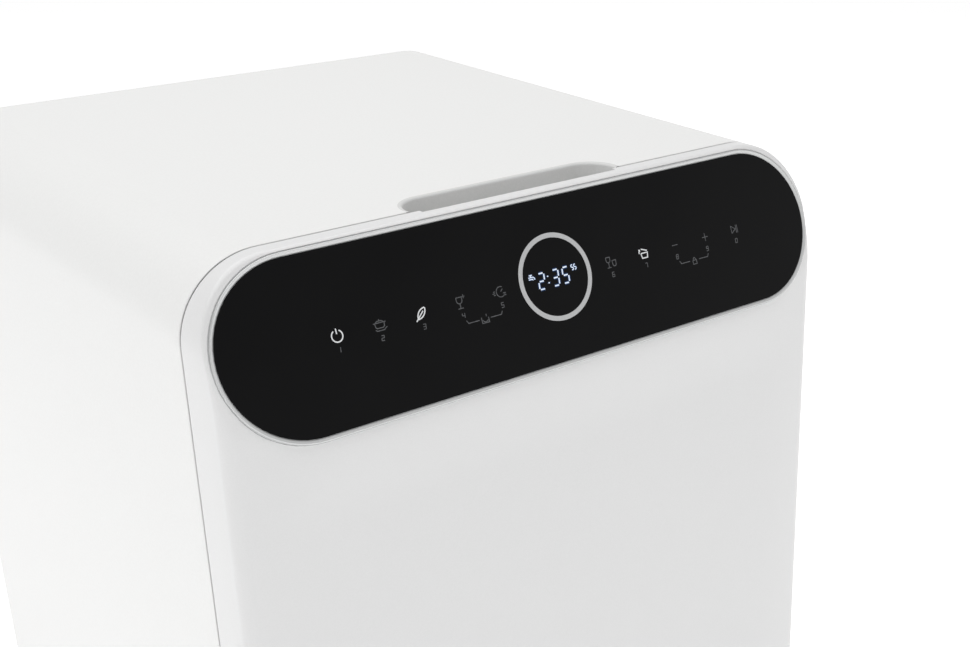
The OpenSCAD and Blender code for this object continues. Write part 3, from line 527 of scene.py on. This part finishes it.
def door_inset(x, z):
    """Distance of a place on the door's front from the nearest edge of its outline."""
    side = CAB_W / 2 - abs(x)
    top = CAB_H - z
    if side < CORNER_R and top < CORNER_R:
        return CORNER_R - math.hypot(CORNER_R - side, CORNER_R - top)
    return min(side, top)


def swell_share(z):
    """How much of its swell the front has at a height: none below the run, all at the chin."""
    t = min(max((z - (CHIN_Z - SWELL_RUN)) / SWELL_RUN, 0.0), 1.0)
    return t * t * (3 - 2 * t)


def cheek_depth(x):
    """How far the cheeks stand before the seam, beside the flat middle of the front."""
    side = CAB_W / 2 - abs(x)
    cheek = CHEEK_D + EDGE_R * math.cos(CHEEK_SLOPE)
    return cheek + (side - EDGE_R * (1 - math.sin(CHEEK_SLOPE))) * math.tan(CHEEK_SLOPE)


def door_depth(x, z):
    """How far the door's front stands before the seam: flat, swelling to the chin, leaning back."""
    swell = DOOR_T + (CHIN_U - DOOR_T) * swell_share(z)
    lean = PANEL_U - (z - PANEL_Z) * math.tan(PANEL_TILT)
    face = smooth_min(swell, lean, CHIN_ROUND)
    face = smooth_min(face, cheek_depth(x), CHEEK_ROUND)
    low = z - DOOR_BOTTOM
    if low < EDGE_LOW_R:
        face -= round_drop(EDGE_LOW_R, low)
    # The rim of the outline is rounded more on the deep sides than on the thin top
    inset = door_inset(x, z)
    r = min(EDGE_R, RIM_R + RIM_GROWTH * max(0.0, face - PANEL_U))
    if inset < r:
        face -= round_drop(r, inset)
    return face


def back_depth(z):
    """How far the back edge stands before the seam: cut away at the heel, so that the door can swing."""
    return DOOR_GAP + HEEL_D * max(0.0, 1 - (z - DOOR_BOTTOM) / HEEL_H)


def door_rows():
    """Heights of the rows of the door's front, close together where it turns."""
    swell_foot = CHIN_Z - SWELL_RUN
    turn_foot = CHIN_Z - TURN_BELOW
    turn_head = CHIN_Z + TURN_ABOVE
    corner = CAB_H - CORNER_R
    edge = [DOOR_BOTTOM + s for s in edge_steps(EDGE_LOW_R, count=6)]
    plain = spaced(DOOR_BOTTOM + HEEL_H, swell_foot, count=8)
    swell = spaced(swell_foot, turn_foot, count=12)[1:]
    turn = spaced(turn_foot, turn_head, count=10)[1:]
    lean = spaced(turn_head, corner, count=5)[1:]
    bend = [corner + CORNER_R * math.sin(a) for a in quarter_turn(40)[1:]]
    return edge + plain + swell + turn + lean + bend


def door_columns(half):
    """Places across the door's front at a row of a given half width, close together at its edges."""
    insets = edge_steps(EDGE_R, count=10) + [EDGE_R + s for s in CHEEK_COLUMNS]
    left = [-half + i for i in insets]
    middle = spaced(-half + insets[-1], half - insets[-1], count=24)[1:-1]
    right = [half - i for i in reversed(insets)]
    return left + middle + right


def door_skin(bm):
    """The outer skin of the door: its front and the band round it, open at the back."""
    front = [[(x, z) for x in door_columns(door_half_width(z))] for z in door_rows()]
    rows = [[(x, SEAM_Y - door_depth(x, z), z) for x, z in row] for row in front]
    faces = grid(bm, rows)
    rim = [row[-1] for row in faces[:-1]] + faces[-1][::-1] + [row[0] for row in faces[-2::-1]]
    loop = rim + faces[0][1:-1]
    back = []
    for vert in loop:
        place = vert.co.copy()
        place.y = (SEAM_Y - back_depth(place.z / MM)) * MM
        back.append(bm.verts.new(place))
    for k in range(len(loop)):
        n = (k + 1) % len(loop)
        bm.faces.new([loop[k], loop[n], back[n], back[k]])


def thicken(piece, wall):
    """Gives an open skin its wall, inwards."""
    solid = piece.modifiers.new("wall", "SOLIDIFY")
    solid.thickness = wall * MM
    solid.offset = -1
    solid.use_even_offset = False
    apply_modifiers(piece)


def pocket_mesh():
    """What is cut from the door for the glass, with a small flare at its mouth."""
    grow = BEZEL_W + BEZEL_GAP
    bm = bmesh.new()
    rings = [(grow, -POCKET_DEEP), (grow, -MOUTH_DOWN), (grow + MOUTH_ROUND, -ROUND_DOWN),
             (grow + FLARE_W, FLARE_UP), (grow + FLARE_W, POCKET_TOP)]
    rows = panel_ring(bm, rings)
    for row in (rows[0], rows[-1]):
        bm.faces.new(row)
    return bm


def cut_groove(door):
    """The groove for the fingers behind the door's top, with a wall of its own."""
    half = RECESS_W / 2 - GROOVE_IN
    back = SEAM_Y - DOOR_GAP
    foot = CAB_H - RECESS_H
    boolean(door, box_mesh(-half - GROOVE_WALL, half + GROOVE_WALL, back - GROOVE_D - GROOVE_WALL, back,
                           foot - GROOVE_WALL, CAB_H - GROOVE_UNDER), "UNION")
    boolean(door, box_mesh(-half, half, back - GROOVE_D, SEAM_Y, foot, CAB_H + CUT_WELL_PAST))


def cut_hinge_slots(door):
    """Two slots in the door's foot, which the hinge arms come through."""
    for x in (-HINGE_X, HINGE_X):
        boolean(door, box_mesh(x - SLOT_W / 2, x + SLOT_W / 2, SEAM_Y - SLOT_DEEP, SEAM_Y + CUT_PAST,
                               DOOR_BOTTOM - CUT_PAST, SLOT_TOP))


def build_door(finishes):
    """The door's moulding: one skin with a wall, opened for the glass, the fingers and the hinges."""
    bm = bmesh.new()
    door_skin(bm)
    moulded = finishes["white_plastic"]
    door = mesh_piece("door_moulding", bm, "door", moulded, ("door_outer",))
    thicken(door, SKIN_T)
    boolean(door, pocket_mesh())
    cut_groove(door)
    cut_hinge_slots(door)
    door.data.materials.clear()
    door.data.materials.append(moulded)
    shade(door, sharp=32)


# ---------- frame round the glass ----------
# Its outer lip, the ledge that the glass lies on, and the flange under the lip
LIP_R = 0.6
LEDGE_W = 5
BEZEL_DEEP = GLASS_T + 3
FLANGE_W = 0.4
FLANGE_DOWN = 0.65
# The bevel from the lip down to the glass: its crest, and the fine step at its foot
CREST_W = 1.8
CREST_DOWN = 0.08
FOOT_W = 0.2
FOOT_DOWN = 0.66
STEP_W = 0.1
STEP_DOWN = 0.7
GLASS_GAP = 0.08


def build_bezel(finishes):
    """The lacquered frame round the glass: a rounded outer lip, then a bevel that dips to the glass."""
    bm = bmesh.new()
    rings = [(-LEDGE_W, -GLASS_T), (-LEDGE_W, -BEZEL_DEEP), (BEZEL_W + FLANGE_W, -BEZEL_DEEP),
             (BEZEL_W + FLANGE_W, -FLANGE_DOWN), (BEZEL_W, -FLANGE_DOWN), (BEZEL_W, BEZEL_PROUD - LIP_R)]
    for a in quarter_turn(6)[1:]:
        rings.append((BEZEL_W - LIP_R * (1 - math.cos(a)), BEZEL_PROUD - LIP_R * (1 - math.sin(a))))
    rings += [(CREST_W, BEZEL_PROUD - CREST_DOWN), (FOOT_W, -FOOT_DOWN), (STEP_W, -STEP_DOWN),
              (GLASS_GAP, -GLASS_T)]
    panel_ring(bm, rings, close_section=True)
    mesh_piece("panel_frame", bm, "door", finishes["bezel"], ("control_bezel",), sharp=28)


# ---------- cabinet ----------
# The wrap's plain length starts this far from its rolled ends
WRAP_END = 4
# The lip for the rear panel: its width, and its gap over the base tray
REAR_LIP = 13
LIP_CLEAR = 0.5
# How far above and below the top the recess is cut from the wrap
RECESS_CUT = 20


def cabinet_outline(inset, low):
    """The cabinet's section from its lower left to its lower right edge, over the round corners."""
    r = CORNER_R - inset
    side = CAB_W / 2 - inset
    middle = (low + CAB_H) / 2
    bend = [(r * (1 - math.cos(a)), CAB_H - CORNER_R + r * math.sin(a)) for a in quarter_turn(24)]
    left = [(-side, low), (-side, middle)] + [(-side + x, z) for x, z in bend]
    top = [(x, CAB_H - inset) for x in spaced(-side + r, side - r, count=12)[1:-1]]
    right = [(side - x, z) for x, z in reversed(bend)] + [(side, middle), (side, low)]
    return left + top + right


def wrap_section():
    """The sheet's section from front to back with rolled edges: its inset and its place."""
    half = SHELL_T / 2
    turns = [math.pi * k / 10 for k in range(11)]
    roll = [(half * (1 - math.cos(a)), half * (1 - math.sin(a))) for a in turns]
    front = [(SHELL_T - i, SEAM_Y + y) for i, y in roll]
    plain = [(0, y) for y in spaced(SEAM_Y + WRAP_END, REAR_Y - WRAP_END, count=8)]
    return front + plain + [(i, REAR_Y - y) for i, y in roll]


def rear_lip_section():
    """The section of the lip that the rear panel screws to."""
    y = REAR_Y - REAR_T
    inner = SHELL_T + REAR_LIP
    return [(SHELL_T / 2, y), (inner, y), (inner, y - SHELL_T), (SHELL_T / 2, y - SHELL_T)]


def recess_plan(grow):
    """The finger recess seen from above, from its left end on the seam round to its right end."""
    half = RECESS_W / 2 + grow
    deep = RECESS_D + grow
    r = RECESS_R + grow
    left = [(-half + r * (1 - math.cos(a)), SEAM_Y + deep - r + r * math.sin(a)) for a in quarter_turn(16)]
    back = [(x, SEAM_Y + deep) for x in spaced(-half + r, half - r, count=8)[1:-1]]
    right = [(-x, y) for x, y in reversed(left)]
    return [(-half, SEAM_Y)] + left + back + right + [(half, SEAM_Y)]


def recess_cutter():
    """What is cut from the wrap for the finger recess."""
    bm = bmesh.new()
    plan = recess_plan(RECESS_T)
    before = SEAM_Y - CUT_WELL_PAST
    plan = [(plan[0][0], before)] + plan + [(plan[-1][0], before)]
    heights = (CAB_H - RECESS_CUT, CAB_H + RECESS_CUT)
    for row in grid(bm, [[(x, y, z) for x, y in plan] for z in heights], close=True):
        bm.faces.new(row)
    return bm


def build_wrap(finishes):
    """The painted sheet wrap with rolled edges, and in it the lip that the rear panel screws to."""
    bm = bmesh.new()
    for section, low in ((wrap_section(), FOOT_H), (rear_lip_section(), TRAY_TOP + LIP_CLEAR)):
        rows = [[(x, y, z) for x, z in cabinet_outline(inset, low)] for inset, y in section]
        made = grid(bm, rows + [rows[0]])
        for end in (0, -1):
            bm.faces.new([row[end] for row in made[:-1]])
    painted = finishes["white_paint"]
    wrap = mesh_piece("sheet_wrap", bm, "root", painted, ("outer_shell",), sharp=40)
    boolean(wrap, recess_cutter())
    shade(wrap, sharp=40)


# The scoop's lip: its flat rim, the roll over it and how much of a quarter turn that takes
SCOOP_RIM = 1
LIP_ROLL_R = 1.9
LIP_TURN = 0.9
# The scoop's wall: how far it leans in, and the round at its foot
WALL_LEAN = 1.6
ROLL_R = 3.2


def scoop_section():
    """The recess's section, from its underside over the lip to the floor: its growth and height."""
    rim = RECESS_T - SCOOP_RIM
    section = [(RECESS_T, -RECESS_H - RECESS_T), (RECESS_T, 0), (rim, 0)]
    for a in quarter_turn(8)[1:]:
        a *= LIP_TURN
        section.append((rim - LIP_ROLL_R * math.sin(a), -LIP_ROLL_R * (1 - math.cos(a))))
    grow, height = section[-1]
    wall_foot = RECESS_H - ROLL_R
    section.append((grow - WALL_LEAN / 2, (height - wall_foot) / 2))
    for a in quarter_turn(6):
        section.append((grow - WALL_LEAN - ROLL_R * (1 - math.cos(a)), -wall_foot - ROLL_R * math.sin(a)))
    return section


def build_scoop(finishes):
    """The finger recess: a lip that rolls over from the top, a leaning wall and a flat floor."""
    bm = bmesh.new()
    made = grid(bm, [[(x, y, CAB_H + z) for x, y in recess_plan(grow)] for grow, z in scoop_section()])
    for row in (made[0], made[-1]):
        bm.faces.new(row)
    bm.faces.new([row[0] for row in made] + [row[-1] for row in reversed(made)])
    # The recess's finish carries painted shade: its white is painted a little grey.
    grained_and_shaded = finishes["recess"]
    mesh_piece("finger_scoop", bm, "root", grained_and_shaded, ("finger_recess",), sharp=50)


# ---------- marks on the glass ----------
# A mark's foot in the glass and its face above it, printed or lit, and over the light round it
MARK_LOW = -0.02
MARK_HIGH = 0.05
GLOW_HIGH = 0.06
HALO_HIGH = 0.03
# How far a line's sharp corner may be drawn out: the smaller, the further
MITRE = 0.6
# Where a goblet's bowl begins to round in, as a share of its half height
BOWL_ROUND = 0.45


def stroke(bm, path, width, high=MARK_HIGH):
    """A thin raised line of even width through points in the face of the glass."""
    rings = []
    for k, point in enumerate(path):
        before = Vector(path[max(k - 1, 0)])
        here = Vector(point)
        after = Vector(path[min(k + 1, len(path) - 1)])
        a = (here - before).normalized() if (here - before).length else (after - here).normalized()
        b = (after - here).normalized() if (after - here).length else a
        side = Vector((-(a + b).y, (a + b).x)).normalized()
        side *= width / 2 / max(side.dot(Vector((-a.y, a.x))), MITRE)
        rings.append([on_panel(*(here + side), MARK_LOW), on_panel(*(here + side), high),
                      on_panel(*(here - side), high), on_panel(*(here - side), MARK_LOW)])
    made = grid(bm, rings, close=True)
    bm.faces.new(made[0])
    bm.faces.new(made[-1])


def arc(cx, cs, r, start, end, steps, tall=1.0):
    """Points of an arc, its angles in degrees."""
    turns = [math.radians(start + (end - start) * k / steps) for k in range(steps + 1)]
    return [(cx + r * math.cos(t), cs + tall * r * math.sin(t)) for t in turns]


def shifted(paths, x, s, size=1.0):
    """Lines moved to a place on the glass, and drawn smaller or larger."""
    return [[(px * size + x, ps * size + s) for px, ps in path] for path in paths]


def goblet(x, s, w, h):
    """Half-round bowl, stem and foot of a drinking glass."""
    waist = s + h * BOWL_ROUND
    bowl = [(x - w, s + h), (x - w, waist)] + arc(x, waist, w, 180, 360, 10) + [(x + w, s + h)]
    return [bowl + [bowl[0]], [(x, waist - w), (x, s - h)], [(x - w, s - h), (x + w, s - h)]]


def key_power():
    """An open ring with a bar in its gap."""
    return [arc(0, 0, 3.7, 120, 420, 32), [(0, 1.2), (0, 4.6)]]


def key_pot():
    """A lidded pan over a plate."""
    pan = [(-3.3, 1.2), (-3.1, -1.2), (-2.2, -2.1), (2.2, -2.1), (3.1, -1.2), (3.3, 1.2)]
    lid = [(-2.9, 1.3), (-1.6, 2.3), (1.6, 2.3), (2.9, 1.3)]
    plate = [(-3.6, -2.9), (-2.4, -3.7), (2.4, -3.7), (3.9, -2.6), (4.8, -2.2)]
    return [pan, [(-4.4, 1.2), (4.4, 1.2)], lid, [(0, 2.3), (0, 3.4)], plate]


def key_leaf():
    """A leaf between two arcs, with its stalk."""
    back = arc(3.1, -2.9, 6.2, 92, 178, 14)
    belly = arc(-3.1, 2.9, 6.2, -88, -2, 14)
    return [back + belly + [back[0]], [(-4.6, -4.4), (-0.8, -0.8), (1.5, 1.3)]]


def key_glass():
    """A drinking glass with a small star."""
    star = [[(1.7, 3.6), (3.9, 3.6)], [(2.8, 2.4), (2.8, 4.8)]]
    return goblet(-0.6, 0, 2.1, 3.6) + star


def key_dial():
    """A clock that leaves lines behind it."""
    face = arc(0.9, 0.2, 3.4, 60, 330, 26)
    lines = [[(-4.8, 1.0), (-3.4, 1.0)], [(-5.6, -0.1), (-3.7, -0.1)], [(-4.8, -1.2), (-3.4, -1.2)]]
    return [face, [(0.9, 0.2), (2.6, 1.9)], [(2.4, -1.0), (4.6, -1.0)], [(2.4, -2.4), (4.6, -2.4)]] + lines


def key_glasses():
    """A drinking glass and a cup."""
    cup = [(1.2, 1.0), (1.5, -2.2), (2.3, -3.0), (3.4, -3.0), (4.2, -2.2), (4.5, 1.0), (1.2, 1.0)]
    return goblet(-2.0, 0.2, 1.7, 3.6) + [cup]


def key_open_lid():
    """A box with a raised lid and a bent arrow."""
    tub = [(-2.7, 0.4), (-2.1, -3.1), (2.6, -3.1), (3.2, 0.4), (-2.7, 0.4)]
    lid = [(3.2, 1.6), (-1.9, 3.4)]
    return [tub, lid, [(-4.1, 0.4), (-4.0, 1.8), (-3.2, 2.9)], [(-4.2, 3.0), (-3.2, 2.9), (-3.3, 1.9)]]


def key_minus():
    """A minus sign."""
    return [[(-2.6, 0), (2.6, 0)]]


def key_plus():
    """A plus sign."""
    return [[(-2.6, 0), (2.6, 0)], [(0, -2.9), (0, 2.9)]]


def key_play():
    """A triangle and two bars."""
    triangle = [(-2.7, -2.7), (-2.7, 2.7), (1.3, 0), (-2.7, -2.7)]
    return [triangle, [(2.0, 2.9), (2.0, -2.9)], [(3.2, 2.9), (3.2, -2.9)]]


def mark_tray():
    """An open tray with a bowl in it."""
    tray = [(-2.2, 1.2), (-2.2, -2.2), (2.4, -2.2), (2.4, 0.6)]
    return [tray, arc(0.2, 0.2, 1.9, 200, 330, 10), [(1.2, 1.2), (1.2, 2.6)]]


def mark_lock():
    """A padlock."""
    body = [(-1.5, 0), (-1.5, -2.4), (1.5, -2.4), (1.5, 0), (-1.5, 0)]
    return [body, arc(0, 0, 1.0, 0, 180, 10, 1.6)]


def mark_tap():
    """A water tap from the side."""
    spout = [(-2.2, 0.5), (0.9, 0.5), (1.9, -0.3), (1.9, -1.2)]
    under = [(-2.2, -0.6), (0.3, -0.6), (0.8, -1.2)]
    return [spout, under, [(-0.5, 0.5), (-0.5, 1.7)], [(-1.6, 1.7), (0.6, 1.7)]]


def mark_steam():
    """Two waves of steam."""
    wave = arc(0, 0.75, 0.75, 60, 270, 8) + arc(0, -0.75, 0.75, 90, -120, 8)
    return shifted([wave], -1.0, 0) + shifted([wave], 1.0, 0)


# Which of a digit's seven bars are lit: top, upper left, upper right, middle, lower left, lower right, base
BARS = {0: "1110111", 1: "0010010", 2: "1011101", 3: "1011011", 4: "0111010",
        5: "1101011", 6: "1101111", 7: "1010010", 8: "1111111", 9: "1111011"}
DIGIT_LEAN = 0.1


def digit(value, x, s, w, h, gap):
    """The lit bars of a leaning seven-bar digit about its middle."""
    ends = [((-w, h), (w, h)), ((-w, h), (-w, 0)), ((w, h), (w, 0)), ((-w, 0), (w, 0)),
            ((-w, 0), (-w, -h)), ((w, 0), (w, -h)), ((-w, -h), (w, -h))]
    # A one has only its right-hand bars, so it moves to the middle of its place
    if value == 1:
        x -= w
    paths = []
    for lit, (a, b) in zip(BARS[value], ends):
        if lit == "1":
            a, b = Vector(a), Vector(b)
            trim = (b - a).normalized() * gap
            paths.append([(x + p.x + DIGIT_LEAN * p.y, s + p.y) for p in (a + trim, b - trim)])
    return paths


# Key row, left to right: place along the glass, drawing, and whether it is lit
KEYS = [(-138.7, key_power, True), (-113.5, key_pot, False), (-87.7, key_leaf, True),
        (-62.6, key_glass, False), (-36.5, key_dial, False), (43.8, key_glasses, False),
        (69.6, key_open_lid, True), (94.5, key_minus, False), (119.6, key_plus, False),
        (144.7, key_play, False)]
KEY_S = 1.3
KEY_SIZE = 0.86
LIT_LINE = 0.68
INK_LINE = 0.5
# The numbers under the keys
LABEL_S = -6.0
LABEL_W = 0.8
LABEL_H = 1.35
LABEL_LINE = 0.45
# The pairs of keys that do a third thing together: two bracket ends and the drawing between
PAIRS = [(-61.7, -37.7, -49.8, mark_tray), (95.5, 119.4, 107.3, mark_lock)]
PAIR_S = -10.8
BRACKET_UP = 1.8
BRACKET_GAP = 3.8
# The time shown in the ring: its digits with their places, and the two dots after the first
DISPLAY = [(2, -7.2), (3, 2.9), (5, 10.1)]
DISPLAY_S = 1.1
DIGIT_W = 2.05
DIGIT_H = 4.55
DIGIT_GAP = 0.6
BAR_LINE = 0.8
BAR_HALO = 1.9
DOTS_X = -2.5
DOT_LEAN = 0.05
DOT_HALF = 0.35
DOTS_APART = 1.9
# The small signs on either side of the time
TAP_PLACE = (-13.4, 4.2)
STEAM_PLACE = (16.7, 4.4)
SIGN_LINE = 0.56
SIGN_HALO = 1.2


def draw_keys(lit, ink):
    """The ten keys in a row, lit or printed, each over its number."""
    for number, (x, drawing, on) in enumerate(KEYS, 1):
        for path in shifted(drawing(), x, KEY_S, KEY_SIZE):
            stroke(lit if on else ink, path, LIT_LINE if on else INK_LINE)
        for path in digit(number % 10, x, LABEL_S, LABEL_W, LABEL_H, 0.0):
            stroke(ink, path, LABEL_LINE)


def draw_pairs(ink):
    """Brackets that join two keys over the sign of what they do together."""
    for left, right, middle, drawing in PAIRS:
        for end, side in ((left, 1), (right, -1)):
            inner = middle - side * BRACKET_GAP
            stroke(ink, [(end, PAIR_S + BRACKET_UP), (end + side, PAIR_S), (inner, PAIR_S)], INK_LINE)
        for path in shifted(drawing(), middle, PAIR_S):
            stroke(ink, path, INK_LINE)


def draw_display(glow, halo):
    """The time and two signs in the ring, each line with a wider one of faint light under it."""
    shown = []
    for value, x in DISPLAY:
        shown += digit(value, x, DISPLAY_S, DIGIT_W, DIGIT_H, DIGIT_GAP)
    for s in (DISPLAY_S + DOTS_APART, DISPLAY_S - DOTS_APART):
        shown.append([(DOTS_X, s - DOT_HALF), (DOTS_X + DOT_LEAN, s + DOT_HALF)])
    signs = shifted(mark_tap(), *TAP_PLACE) + shifted(mark_steam(), *STEAM_PLACE)
    for paths, line, spread in ((shown, BAR_LINE, BAR_HALO), (signs, SIGN_LINE, SIGN_HALO)):
        for path in paths:
            stroke(glow, path, line, GLOW_HIGH)
            stroke(halo, path, spread, HALO_HIGH)


def build_marks(finishes):
    """Printed and lit marks on the glass."""
    lit, ink, glow, halo = (bmesh.new() for _ in range(4))
    draw_keys(lit, ink)
    draw_pairs(ink)
    draw_display(glow, halo)
    mesh_piece("lit_keys", lit, "door", finishes["lit_key"])
    mesh_piece("printed_marks", ink, "door", finishes["printed"])
    mesh_piece("display_bars", glow, "door", finishes["display"])
    mesh_piece("display_halo", halo, "door", finishes["halo"])


# ---------- scene ----------
# Camera: the image's size, the focal length and the optical centre in its pixels
IMAGE_W = 970
IMAGE_H = 647
CAMERA_FOCAL = 1497.0
CAMERA_MIDDLE = (700, 380)
# Its yaw, its pitch downwards and its roll in degrees, and its place in metres
CAMERA_TURN = (42.88, 23.34, 0.93)
CAMERA_PLACE = (-0.4895, -0.8588, 0.6762)
SENSOR_W = 36
CLIP_NEAR = 0.05
CLIP_FAR = 50
# The room's light at the horizon and from halfway up, and half the floor's width in metres
HORIZON = 1.0
ZENITH = 0.4
ZENITH_FROM = 0.5
FLOOR_HALF = 40.0


def camera():
    """A level camera turned by its yaw, pitch and roll, with the image's middle shifted."""
    data = bpy.data.cameras.new("camera")
    cam = bpy.data.objects.new("camera", data)
    bpy.context.scene.collection.objects.link(cam)
    yaw, pitch, roll = (math.radians(a) for a in CAMERA_TURN)
    ahead = Vector((math.sin(yaw) * math.cos(pitch), math.cos(yaw) * math.cos(pitch), -math.sin(pitch)))
    level = Vector((math.cos(yaw), -math.sin(yaw), 0))
    lift = level.cross(ahead)
    right = level * math.cos(roll) + lift * math.sin(roll)
    up = lift * math.cos(roll) - level * math.sin(roll)
    turn = Matrix((right, up, -ahead)).transposed().to_4x4()
    cam.matrix_world = Matrix.Translation(Vector(CAMERA_PLACE)) @ turn
    data.sensor_width = SENSOR_W
    data.lens = SENSOR_W * CAMERA_FOCAL / IMAGE_W
    data.shift_x = -(CAMERA_MIDDLE[0] - IMAGE_W / 2) / IMAGE_W
    data.shift_y = (CAMERA_MIDDLE[1] - IMAGE_H / 2) / IMAGE_W
    data.clip_start = CLIP_NEAR
    data.clip_end = CLIP_FAR
    bpy.context.scene.camera = cam


def softbox(name, place, aim, size, power):
    """A square lamp at a place, turned to what it lights. Metres and watts."""
    data = bpy.data.lights.new(name, "AREA")
    data.shape = "SQUARE"
    data.size = size
    data.energy = power
    lamp = bpy.data.objects.new(name, data)
    bpy.context.scene.collection.objects.link(lamp)
    lamp.location = place
    lamp.rotation_mode = "QUATERNION"
    lamp.rotation_quaternion = (Vector(aim) - Vector(place)).to_track_quat("-Z", "Y")


def white_room():
    """A world with a bright horizon that meets the floor, and a dimmer ceiling."""
    world = bpy.data.worlds.new("studio")
    bpy.context.scene.world = world
    bpy.context.scene.view_settings.view_transform = "Standard"
    world.use_nodes = True
    tree = world.node_tree
    backing = tree.nodes["Background"]
    place = add(tree, "ShaderNodeTexCoord")
    height = add(tree, "ShaderNodeSeparateXYZ", links={"Vector": place.outputs["Generated"]})
    dome = add(tree, "ShaderNodeValToRGB", links={"Fac": height.outputs["Z"]})
    for stop, (up, tone) in zip(dome.color_ramp.elements, ((0.0, HORIZON), (ZENITH_FROM, ZENITH))):
        stop.position = up
        stop.color = (tone, tone, tone, 1)
    tree.links.new(dome.outputs[0], backing.inputs["Color"])
    backing.inputs["Strength"].default_value = 1.0


def lay_floor(finishes):
    """A wide sheet of studio paper under the feet."""
    bm = bmesh.new()
    bmesh.ops.create_grid(bm, x_segments=8, y_segments=8, size=FLOOR_HALF)
    floor = object_from(bm, "floor")
    floor.data.materials.append(finishes["floor"])


def studio(finishes):
    """The room, its floor and three soft boxes."""
    white_room()
    lay_floor(finishes)
    softbox("top_softbox", place=(-0.2, 0.1, 2.0), aim=(0, 0, 0.4), size=2.2, power=28)
    softbox("left_softbox", place=(-2.2, -0.4, 1.1), aim=(0, 0, 0.3), size=1.8, power=0.6)
    softbox("right_softbox", place=(2.4, 0.2, 0.8), aim=(0, -0.2, 0.4), size=1.6, power=4)


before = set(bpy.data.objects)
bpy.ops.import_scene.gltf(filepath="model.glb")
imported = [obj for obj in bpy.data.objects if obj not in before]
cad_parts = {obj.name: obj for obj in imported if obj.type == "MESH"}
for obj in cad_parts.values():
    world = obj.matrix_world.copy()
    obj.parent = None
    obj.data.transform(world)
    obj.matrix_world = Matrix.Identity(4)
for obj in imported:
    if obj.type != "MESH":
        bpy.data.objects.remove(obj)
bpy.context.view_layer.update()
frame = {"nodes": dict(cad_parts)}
camera()
finishes = {slot: make() for slot, make in MAKERS.items()}
finish_cad_nodes(frame, finishes)
build_door(finishes)
build_bezel(finishes)
build_wrap(finishes)
build_scoop(finishes)
build_marks(finishes)
studio(finishes)
